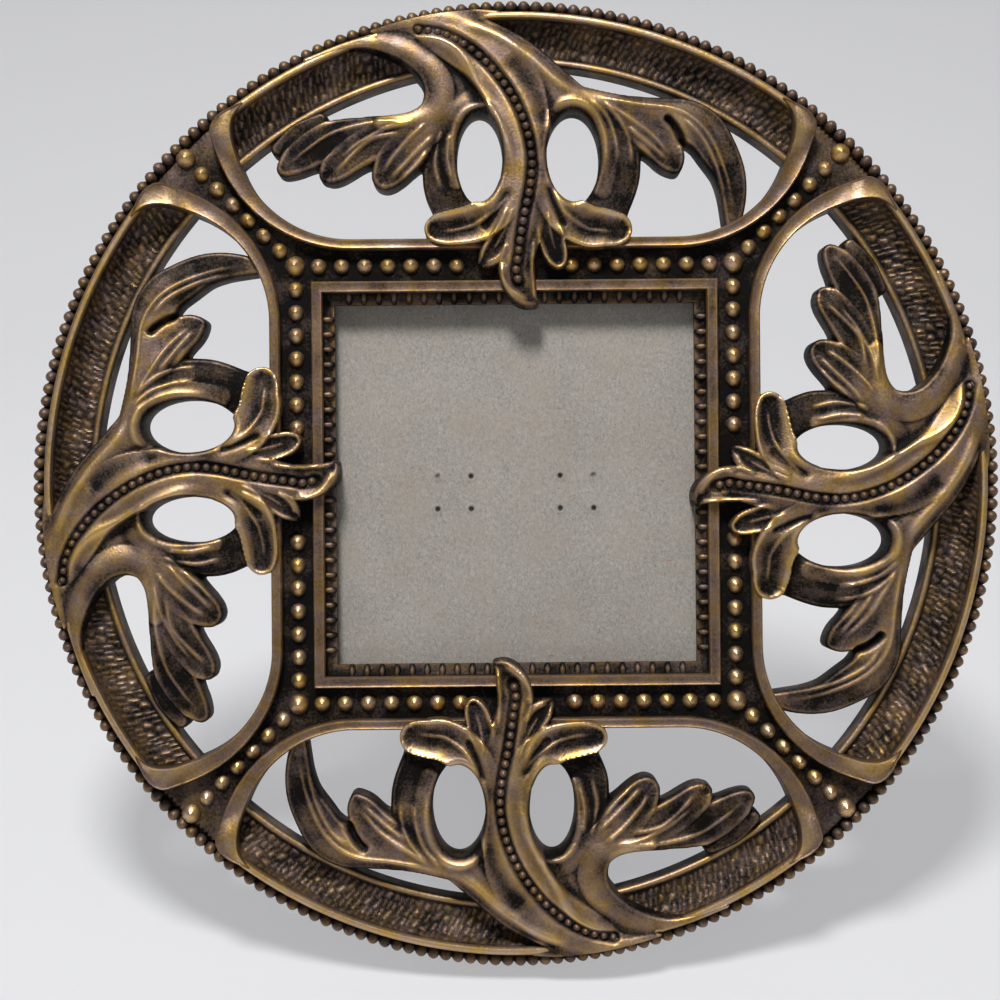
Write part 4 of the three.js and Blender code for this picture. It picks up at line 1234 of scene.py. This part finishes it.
class FRAME_OT_ridges(PieceOperator, Operator):
    """Sweep the flat border of each lunette, with its gold crescents at the rim"""

    bl_idname = "picture_frame.ridges"
    bl_label = "Lunette borders"

    def make(self):
        left = self.left_half()
        whole = np.concatenate([left[:0:-1] * [-1, 1, -1, 1], left])
        outer, inner = whole[:, :2], whole[:, 2:]
        width = np.linalg.norm(inner - outer, axis=1)
        across = (inner - outer) / width[:, None]
        gold = smooth_step(np.hypot(*outer.T), 88, 95)
        rise = 1.5 * smooth_step(np.hypot(*outer.T), 90, 95.8)
        edge = np.minimum(0.34, 0.19 * width)
        shoulder, ease, lip, top = (
            height + rise for height in (RIDGE_SHOULDER, RIDGE_EASE, RIDGE_LIP, RIDGE_TOP))
        rows = []
        for share, extra, height, wear in (
            (0, 0, 0, 0.05), (0, 0, RIDGE_SIDE, 0.03), (0, 0, shoulder, 0.25), (0, 0.35, ease, 0.5),
            (0, 1, lip, 0.62 - 0.25 * gold), (0, 2.1, top, 0.42 - 0.1 * gold),
            (0.5, 0, top + 0.15 * gold, 0.4 + 0.25 * gold), (1, -2.1, top, 0.42 + 0.38 * gold),
            (1, -1, lip, 0.66 + 0.25 * gold), (1, -0.35, ease, 0.5), (1, 0, shoulder, 0.3),
            (1, 0, RIDGE_SIDE, 0.15), (1, 0, 0, 0.05),
        ):
            spot = outer + across * (share * width + extra * edge)[:, None]
            columns = [np.broadcast_to(value, len(spot)) for value in (height, wear)]
            rows.append(np.column_stack([spot, *columns]))
        rings = np.stack(rows, 1)
        spots, faces = loft(rings[..., :3])
        wear = rings[..., 3].ravel()
        parts = [(turn(spots, quarter), faces, wear) for quarter in QUARTERS]
        cast(piece("lunette_borders", parts))

    def left_half(self):
        """Outer and inner edge of the border, from the middle of the lunette to its left end."""
        rows = [(-x, RIDGE_BOTTOM, -x, OPENING_BOTTOM) for x in np.linspace(0, 33, 12)]
        outer_at = (RIDGE_CORNER - RIDGE_HALF, RIDGE_BOTTOM + RIDGE_CORNER)
        inner_at = (OPENING_CORNER - OPENING_HALF, OPENING_BOTTOM + OPENING_CORNER)
        for angle in np.radians(np.linspace(270, 196, 26)[1:]):
            ray = np.array([math.cos(angle), math.sin(angle)])
            rows.append((*(outer_at + RIDGE_CORNER * ray), *(inner_at + OPENING_CORNER * ray)))
        return np.array(rows[:-2] + list(smooth_path(rows[-2:] + CRESCENT, 0.7)))


class FRAME_OT_bezel(PieceOperator, Operator):
    """Mitre the square moulding and its rebate round the window"""

    bl_idname = "picture_frame.bezel"
    bl_label = "Bezel"

    def make(self):
        share = np.linspace(-1, 1, 25)[:-1]
        sides = four_times(np.column_stack([-share, np.ones_like(share)]))
        rings = [np.column_stack([(SIGHT + reach) * sides, np.full(len(sides), z)])
                 for reach, z, _ in BEZEL]
        spots, faces = loft(np.stack(rings, 1), round_path=True)
        wear = np.tile([worn for _, _, worn in BEZEL], len(sides))
        cast(piece("bezel", [(spots, faces, wear)]))


class FRAME_OT_sprigs(PieceOperator, Operator):
    """Carve the four leaf sprigs"""

    bl_idname = "picture_frame.sprigs"
    bl_label = "Sprigs"

    def make(self):
        spots, faces, wear = slab(*sprig_field(), LEAF_BACK)
        for quarter in QUARTERS:
            cast(piece(f"sprig_{quarter + 1}", [(turn(spots, quarter), faces, wear)], crease=60))


class FRAME_OT_beads(PieceOperator, Operator):
    """Set the beads of the channel, the arms and the stems"""

    bl_idname = "picture_frame.beads"
    bl_label = "Beads"

    def make(self):
        self.channel_beads()
        self.stem_beads()

    def channel_beads(self):
        plain, large = sizes().bead_radius / MM, sizes().corner_bead_radius / MM
        pitch = sizes().bead_pitch / MM
        rows = []
        for k in range(1, SIDE_BEADS + 1):
            along = BEAD_LINE - k * pitch
            rows += [(along, BEAD_LINE, plain), (-along, BEAD_LINE, plain)]
        for k in range(ARM_BEADS):
            reach = (ARM_BEAD_START + ARM_BEAD_PITCH * k) / math.sqrt(2)
            rows.append((reach, reach, large if k in (0, ARM_BEADS - 1) else plain))
        rows = four_times(rows)
        spots = np.column_stack([rows[:, :2], np.full(len(rows), GROUND)])
        self.bead_row("channel_beads", spots, rows[:, 2] / plain, plain, 0.15, 1.0)

    def stem_beads(self):
        xs, ys, _, height, _ = sprig_field()
        beads = []
        for x, y in even_spots(STEM_LINE, sizes().stem_bead_pitch / MM):
            beads.append((x, y, height[np.searchsorted(ys, y), np.searchsorted(xs, x)] + 0.2))
        taper = np.tile(np.linspace(0.85, 1.05, len(beads)), len(QUARTERS))
        radius = sizes().stem_bead_radius / MM
        self.bead_row("stem_beads", four_times(beads), taper, radius, 0.05, 0.34)

    def bead_row(self, name, spots, scale, radius, low, high):
        """Beads worn from low at their foot to high at their top."""
        stretch = np.repeat(scale[:, None], 3, 1)
        obj = studs(name, spots, (0, 0, 1), (1, 0, 0), stretch, 2 * radius, radius, BALL)
        at = points_of(obj)
        per = len(at) // len(spots)
        lift = (at[:, 2] - np.repeat(spots[:, 2], per)) / (radius * np.repeat(scale, per))
        store_wear_and_shade(obj.data, low + (high - low) * smooth_step(lift, -0.1, 0.7))
        cast(obj)


class FRAME_OT_ribs(PieceOperator, Operator):
    """Set the ribs round the outer edge"""

    bl_idname = "picture_frame.ribs"
    bl_label = "Rim ribs"

    def make(self):
        count = sizes().rib_count
        angles = 2 * math.pi * np.arange(count) / count
        ray = np.column_stack([np.cos(angles), np.sin(angles), np.zeros(count)])
        along = np.column_stack([-np.sin(angles), np.cos(angles), np.zeros(count)])
        spots = RIB_AT * ray + [0, 0, RIB_HEIGHT]
        axes = np.array([0, 0, 1]) + RIB_LEAN * along
        obj = studs("rim_ribs", spots, axes, ray, RIB_STRETCH, RIB_LENGTH, RIB_RADIUS,
                    RIB_FULLNESS)
        x, y, z = points_of(obj).T
        outer, top = smooth_step(np.hypot(x, y), 98.4, 99.9), smooth_step(z, 4.2, 6.1)
        store_wear_and_shade(obj.data, 0.05 + 0.25 * outer + 0.28 * top)
        cast(obj)


class FRAME_OT_nubs(PieceOperator, Operator):
    """Set the nubs round the window"""

    bl_idname = "picture_frame.nubs"
    bl_label = "Window nubs"

    def make(self):
        pitch = sizes().nub_pitch / MM
        half = int((SIGHT - 1.0) / pitch)
        row = [(k * pitch, SIGHT + NUB_INSET, NUB_HEIGHT) for k in range(-half, half + 1)]
        outward = four_times([(0, 1, NUB_SLOPE)] * len(row))
        obj = studs("window_nubs", four_times(row), outward, (0, 0, 1), NUB_STRETCH,
                    NUB_LENGTH, NUB_RADIUS, NUB_FULLNESS)
        store_wear_and_shade(obj.data, 0.03 + 0.4 * smooth_step(points_of(obj)[:, 2], 5.45, 6.05))
        cast(obj)


class FRAME_OT_glass(PieceOperator, Operator):
    """Lay the glass in its rebate"""

    bl_idname = "picture_frame.glass"
    bl_label = "Glass"

    def make(self):
        obj = piece("glass", [plate(panel_square(), *GLASS, bevel=0.15)], crease=20)
        fit(obj, "frame", "glass", "glass_pane")


class FRAME_OT_board(PieceOperator, Operator):
    """Lay the grey board, marked by the prongs of the staples"""

    bl_idname = "picture_frame.board"
    bl_label = "Grey board"

    def make(self):
        sides, legs = (-1, 1), (-STAPLE_HALF, STAPLE_HALF)
        xs = self.lines([side * HINGE_HALF_SPREAD + leg for side in sides for leg in legs])
        ys = self.lines([PIN_Y + row for row in STAPLE_ROWS])
        x, y = np.meshgrid(xs, ys)
        cover = PANEL_HALF - np.maximum(np.abs(x), np.abs(y))
        height = BOARD[1] - BOARD_DIP + 0.03 * np.sin(0.09 * x + 1) * np.cos(0.11 * y)
        hole_shade_and_stain = np.zeros_like(x)
        for side, row, leg in [(s, r, g) for s in sides for r in STAPLE_ROWS for g in legs]:
            near = np.hypot(x - side * HINGE_HALF_SPREAD - leg, y - PIN_Y - row)
            burr, hole = np.exp(-((near - 0.8) / 0.35) ** 2), np.exp(-(near / 0.45) ** 2)
            height += 0.15 * burr - 0.4 * hole
            shallow = row == STAPLE_ROWS[1] and leg * side > 0
            # Painted shade fills each prong hole, fainter in the shallow ones; a faint stain rings
            # it.
            hole_shade_and_stain += (0.4 if shallow else 0.95) * smooth_step(near, 0.68, 0.38)
            hole_shade_and_stain += 0.1 * np.exp(-(near / 1.1) ** 2)
        spots, faces, wear = slab(xs, ys, cover, np.minimum(height, BOARD[1]), hole_shade_and_stain, BOARD[0])
        wear = np.where(spots[:, 2] > 0, wear, 0)
        obj = piece("grey_board", [(spots, faces, wear)])
        fit(obj, "frame", "grey_board", "backing_board")

    def lines(self, marks):
        """Lines of the board's grid, close together near the marks."""
        wide = np.linspace(-PANEL_HALF - 0.2, PANEL_HALF + 0.2, 101)
        far = wide[np.min(np.abs(wide[:, None] - marks), axis=1) > 1.5]
        near = np.array(marks)[:, None] + np.linspace(-1.4, 1.4, 15)
        return np.sort(np.concatenate([far, near.ravel()]))


class FRAME_OT_facing(PieceOperator, Operator):
    """Face the board's back with black paper"""

    bl_idname = "picture_frame.facing"
    bl_label = "Rear facing"

    def make(self):
        obj = piece("rear_paper", [plate(panel_square(), *FACING, bevel=0.08)], crease=20)
        fit(obj, "frame", "black_paper", "rear_facing")


class FRAME_OT_buttons(PieceOperator, Operator):
    """Fit the turn buttons and their slotted screws"""

    bl_idname = "picture_frame.buttons"
    bl_label = "Turn buttons"

    def make(self):
        outline = []
        for reach, start in ((BUTTON_REACH, -90), (0, 90)):
            for a in np.radians(np.linspace(start, start + 180, 15)):
                outline.append((reach + BUTTON_HALF * math.cos(a), BUTTON_HALF * math.sin(a)))
        spots, faces, wear = plate(outline, *BUTTON, bevel=0.25)
        for corner, side_x, side_y in CORNERS:
            x, y = side_x * BUTTON_AT[0], side_y * BUTTON_AT[1]
            at = spots * [-side_x, -side_x, 1] + [x, y, 0]
            obj = piece(f"button_{corner}", [(at, faces, wear)], crease=30)
            fit(obj, f"button_{corner}", "brassed_steel", f"turn_button_{corner}")
            self.screw(corner, x, y)

    def screw(self, corner, x, y):
        angles = np.linspace(0, 2 * math.pi, 32, endpoint=False)
        rings = [[(x + r * math.cos(a), y + r * math.sin(a), z) for a in angles] for r, z in SCREW]
        obj = piece(f"screw_{corner}", [(*loft(rings), 0.5)], crease=40)
        long, wide = SLOT_HALF
        outline = [(x - long, y - wide), (x + long, y - wide),
                   (x + long, y + wide), (x - long, y + wide)]
        slot = piece("slot_cutter", [plate(outline, *SLOT, bevel=0.02)])
        cutter = obj.modifiers.new("slot", "BOOLEAN")
        cutter.object = slot
        cutter.solver = "EXACT"
        cut = settled_mesh(obj)
        obj.modifiers.remove(cutter)
        obj.data = cut
        bpy.data.objects.remove(slot)
        fit(obj, "frame", "brassed_steel", f"turn_button_screw_{corner}")


def opened(points):
    """Points drawn from the pin on the folded strut, as points on the frame with it open."""
    x, y, z = np.moveaxis(np.asarray(points, float), -1, 0)
    c, s = math.cos(STRUT_OPEN), math.sin(STRUT_OPEN)
    return np.stack([x, PIN_Y + y * c - z * s, PIN_Z + y * s + z * c], -1)


def at_pin(points):
    """Points drawn from the pin as points on the frame."""
    return np.asarray(points, float) + [0, PIN_Y, PIN_Z]


def knuckle(x_first, x_last):
    """Bored barrel of a hinge, from one x to another."""
    length, slim = x_last - x_first, KNUCKLE - KNUCKLE_EASE
    profile = [
        (KNUCKLE_BORE, 0.0), (slim, 0.0), (KNUCKLE, KNUCKLE_EASE), (KNUCKLE, length - KNUCKLE_EASE),
        (slim, length), (KNUCKLE_BORE, length),
    ]
    angles = np.linspace(0, 2 * math.pi, 28, endpoint=False)
    rings = [[(x_first + along, radius * math.cos(a), radius * math.sin(a))
              for radius, along in profile] for a in angles]
    return *loft(rings, round_path=True), 0.5


def staple_wire(crown, tip):
    """Bent wire with its crown at one height and its legs reaching to another."""
    sign = 1 if tip > crown else -1
    left = [(-STAPLE_HALF, tip)]
    for a in np.radians([90, 67.5, 45, 22.5, 0]):
        x = -STAPLE_HALF + STAPLE_BEND - STAPLE_BEND * math.sin(a)
        left.append((x, crown + sign * (STAPLE_BEND - STAPLE_BEND * math.cos(a))))
    path = np.array(left + [(-x, z) for x, z in left[::-1]])
    rings = []
    for (x, z), (tx, tz) in zip(path, unit(np.gradient(path, axis=0))):
        ring = [(WIRE * math.cos(a), WIRE * math.sin(a)) for a in np.radians(np.arange(0, 360, 36))]
        rings.append([(x - tz * out, side, z + tx * out) for out, side in ring])
    return loft(rings)


class FRAME_OT_hinges(PieceOperator, Operator):
    """Fit the pair of hinges, their pins and their staples"""

    bl_idname = "picture_frame.hinges"
    bl_label = "Hinges"

    def make(self):
        for side, sign in (("left", -1), ("right", 1)):
            middle = np.array([sign * HINGE_HALF_SPREAD, 0, 0])
            self.fixed_leaf(side, middle)
            self.moving_leaf(side, middle)
            self.pin(side, middle)
            for k, row in enumerate(STAPLE_ROWS, 1):
                below = BOARD[1] - PRONG_DEPTH - PIN_Z
                self.staple("board", "frame", f"{side}_{k}", at_pin, middle + [0, row, 0],
                            LEAF_SKIN[0], below)
                self.staple("strut", "strut", f"{side}_{k}", opened, middle - [0, row, 0],
                            STRUT_SKIN[0], LEAF_SKIN[1])

    def leaf(self, name, body, side, middle, parts, set_in):
        parts = [(set_in(spots + middle), faces, wear) for spots, faces, wear in parts]
        obj = piece(f"{name}_leaf_{side}", parts, crease=30)
        fit(obj, body, "brassed_steel", f"hinge_{name}_leaf_{side}")

    def fixed_leaf(self, side, middle):
        length, half = LEAF
        notch = KNUCKLE_HALF + PLAY
        outline = [
            (-half, LEAF_ROOT), (-notch, LEAF_ROOT), (-notch, LEAF_NOTCH), (notch, LEAF_NOTCH),
            (notch, LEAF_ROOT), (half, LEAF_ROOT), (half, length - LEAF_CORNER),
            (half - LEAF_CORNER, length), (LEAF_CORNER - half, length),
            (-half, length - LEAF_CORNER),
        ]
        parts = [
            plate(outline, *LEAF_SKIN, LEAF_BEVEL), knuckle(-half, -notch), knuckle(notch, half),
        ]
        self.leaf("fixed", "frame", side, middle, parts, at_pin)

    def moving_leaf(self, side, middle):
        length, half = LEAF
        clear, inner = KNUCKLE + PLAY, KNUCKLE_HALF
        outline = [
            (-half, -clear), (-half, LEAF_CORNER - length), (LEAF_CORNER - half, -length),
            (half - LEAF_CORNER, -length), (half, LEAF_CORNER - length), (half, -clear),
            (inner, -clear), (inner, -LEAF_ROOT), (-inner, -LEAF_ROOT), (-inner, -clear),
        ]
        start, end = NOSE
        corners = [(-inner, start), (inner, start), (inner, end), (-inner, end)]
        spots, faces, wear = plate(corners, -NOSE_HALF, NOSE_HALF, bevel=0.1)
        angle = NOSE_ANGLE - STRUT_OPEN
        x, y, z = spots.T
        spots = np.stack([x, y * math.cos(angle) - z * math.sin(angle),
                          y * math.sin(angle) + z * math.cos(angle)], -1)
        parts = [
            plate(outline, *LEAF_SKIN, LEAF_BEVEL), knuckle(-inner, inner), (spots, faces, wear),
        ]
        self.leaf("moving", "strut", side, middle, parts, opened)

    def pin(self, side, middle):
        half = LEAF[1]
        profile = [(radius, -half - over) for radius, over in PIN_ENDS]
        profile += [(radius, half + over) for radius, over in PIN_ENDS[::-1]]
        angles = np.radians(np.arange(0, 360, 18))
        rings = [[(along, radius * math.cos(a), radius * math.sin(a)) for a in angles]
                 for radius, along in profile]
        spots, faces = loft(rings)
        obj = piece(f"pin_{side}", [(at_pin(spots + middle), faces, 0.5)], crease=40)
        fit(obj, "frame", "wire", f"hinge_pin_{side}")

    def staple(self, name, body, label, set_in, middle, face, tip):
        """Staple over the face of a leaf or the strut, with its legs reaching to the tip."""
        spots, faces = staple_wire(face - WIRE - WIRE_GAP, tip)
        obj = piece(f"{name}_wire_{label}", [(set_in(spots + middle), faces, 0.5)], crease=40)
        fit(obj, body, "wire", f"{name}_staple_{label}")


class FRAME_OT_strut(PieceOperator, Operator):
    """Cut the easel strut, with its foot flat on the floor"""

    bl_idname = "picture_frame.strut"
    bl_label = "Easel strut"

    def make(self):
        foot_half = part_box("easel_strut")[1].x / MM
        back, front = STRUT_SKIN
        edges = [(STRUT_BEVEL, back), (0, back + STRUT_BEVEL), (0, front - STRUT_BEVEL),
                 (STRUT_BEVEL, front)]
        rings = []
        for share in np.linspace(0, 1, 9):
            ring = []
            for inset, z in edges:
                half = STRUT_TOP_HALF + (foot_half - STRUT_TOP_HALF) * share - inset
                ring.append((half, STRUT_TOP + (self.floor_reach(z) - STRUT_TOP) * share, z))
            rings.append(ring + [(-x, y, z) for x, y, z in ring[::-1]])
        spots, faces = loft(rings)
        obj = piece("strut_board", [(opened(spots), faces, 0.5)], crease=25)
        fit(obj, "strut", "black_board", "easel_strut")

    def floor_reach(self, z):
        """How far down the folded strut the floor lies, at a height over the pin."""
        first, second = (place(opened([(0, y, z)]))[0][2] for y in (0.0, -1.0))
        return -first / (first - second)


class FRAME_OT_stage(PieceOperator, Operator):
    """Lay the floor and set the lamps and the camera"""

    bl_idname = "picture_frame.stage"
    bl_label = "Stage"

    def make(self):
        scene = bpy.context.scene
        scene.view_settings.view_transform = "Standard"
        self.floor()
        world = bpy.data.worlds.new("studio")
        world.use_nodes = True
        sky = world.node_tree.nodes["Background"]
        sky.inputs["Color"].default_value = SKY
        sky.inputs["Strength"].default_value = SKY_STRENGTH
        scene.world = world
        for lamp in LAMPS:
            self.lamp(*lamp)
        self.camera()

    def floor(self):
        path = [(-FLOOR_HALF, 0.0), (0.0, 0.0)]
        for a in np.radians(np.linspace(0, 90, 13)):
            path.append((BEND_START + BEND_RADIUS * math.sin(a),
                         BEND_RADIUS - BEND_RADIUS * math.cos(a)))
        path.append((BEND_START + BEND_RADIUS, FLOOR_HALF))
        across = (-FLOOR_HALF, 0.0, FLOOR_HALF)
        spots = [(x, y, z) for y, z in path for x in across]
        index = np.arange(len(spots)).reshape(len(path), len(across))
        quads = [index[:-1, :-1], index[:-1, 1:], index[1:, 1:], index[1:, :-1]]
        mesh = bpy.data.meshes.new("backdrop")
        mesh.from_pydata(spots, [], np.stack(quads, -1).reshape(-1, 4).tolist())
        mesh.shade_smooth()
        obj = link("backdrop", mesh)
        mesh.materials.append(self.backdrop_paper())

    def backdrop_paper(self):
        """Pale paper, shade painted up the back, seen by the camera partly in its plain colour."""
        pale = colour_of("floor")
        paper = Finish("backdrop_paper", pale, 0.0, 0.85)
        paper.feed("Specular IOR Level", 0.2)
        where = paper.node("ShaderNodeTexCoord")
        split = paper.node("ShaderNodeSeparateXYZ")
        join(paper.tree, where.outputs["Object"], split.inputs[0])
        rise = paper.remap(split.outputs["Z"], 0.0, BEND_RADIUS, 0.0, 1.0)
        # Painted shade: the paper darkens up the back wall.
        tone = paper.mix(rise, shade(pale, 1.1), shade(pale, 0.77))
        paper.feed("Base Color", tone)
        lit = paper.node("ShaderNodeEmission")
        join(paper.tree, tone, lit.inputs["Color"])
        rays = paper.node("ShaderNodeLightPath").outputs
        seen = paper.add(*(rays[f"Is {kind} Ray"] for kind in ("Camera", "Glossy", "Transmission")))
        blend = paper.node("ShaderNodeMixShader")
        share = paper.remap(seen, 0.0, 1.0, 0.0, BACKDROP_GLOW)
        for source, socket in zip((share, paper.bsdf.outputs[0], lit.outputs[0]), blend.inputs):
            join(paper.tree, source, socket)
        surface = paper.tree.nodes["Material Output"].inputs["Surface"]
        join(paper.tree, blend.outputs[0], surface)
        return paper.material

    def lamp(self, name, at, size, power):
        data = bpy.data.lights.new(name, "AREA")
        data.shape = "DISK"
        data.size = size
        data.energy = power
        obj = link(name, data)
        obj.location = at
        obj.rotation_euler = (LAMP_TARGET - Vector(at)).to_track_quat("-Z", "Y").to_euler()

    def camera(self):
        data = bpy.data.cameras.new("camera")
        data.sensor_fit = "HORIZONTAL"
        data.angle = CAMERA_ANGLE
        obj = link("camera", data)
        axes = Matrix(AXES.tolist()).transposed().to_4x4()
        roll = Matrix.Rotation(CAMERA_ROLL, 4, "Z")
        obj.matrix_world = Matrix.Translation(place(CAMERA_AT).tolist()) @ axes @ roll
        bpy.context.scene.camera = obj


OPERATORS = [
    FRAME_OT_stage, FRAME_OT_ground, FRAME_OT_rim_bands, FRAME_OT_ridges, FRAME_OT_bezel,
    FRAME_OT_sprigs, FRAME_OT_beads, FRAME_OT_ribs, FRAME_OT_nubs, FRAME_OT_glass, FRAME_OT_board,
    FRAME_OT_facing, FRAME_OT_buttons, FRAME_OT_hinges, FRAME_OT_strut,
]


class FRAME_PT_panel(Panel):
    """Sizes, colours and pieces of the frame"""

    bl_idname = "FRAME_PT_panel"
    bl_label = "Picture Frame"
    bl_space_type = "VIEW_3D"
    bl_region_type = "UI"
    bl_category = "Picture Frame"

    def draw(self, context):
        for settings in (context.scene.frame_sizes, context.scene.frame_colours):
            for name in settings.__annotations__:
                self.layout.prop(settings, name)
        for operator in OPERATORS:
            self.layout.operator(operator.bl_idname)


CLASSES = [FrameSizes, FrameColours, *OPERATORS, FRAME_PT_panel]


def register():
    for cls in CLASSES:
        bpy.utils.register_class(cls)
    bpy.types.Scene.frame_sizes = PointerProperty(type=FrameSizes)
    bpy.types.Scene.frame_colours = PointerProperty(type=FrameColours)


def unregister():
    del bpy.types.Scene.frame_sizes, bpy.types.Scene.frame_colours
    for cls in reversed(CLASSES):
        bpy.utils.unregister_class(cls)


def main():
    register()
    for operator in OPERATORS:
        group, name = operator.bl_idname.split(".")
        getattr(getattr(bpy.ops, group), name)()


if __name__ == "__main__":
    main()
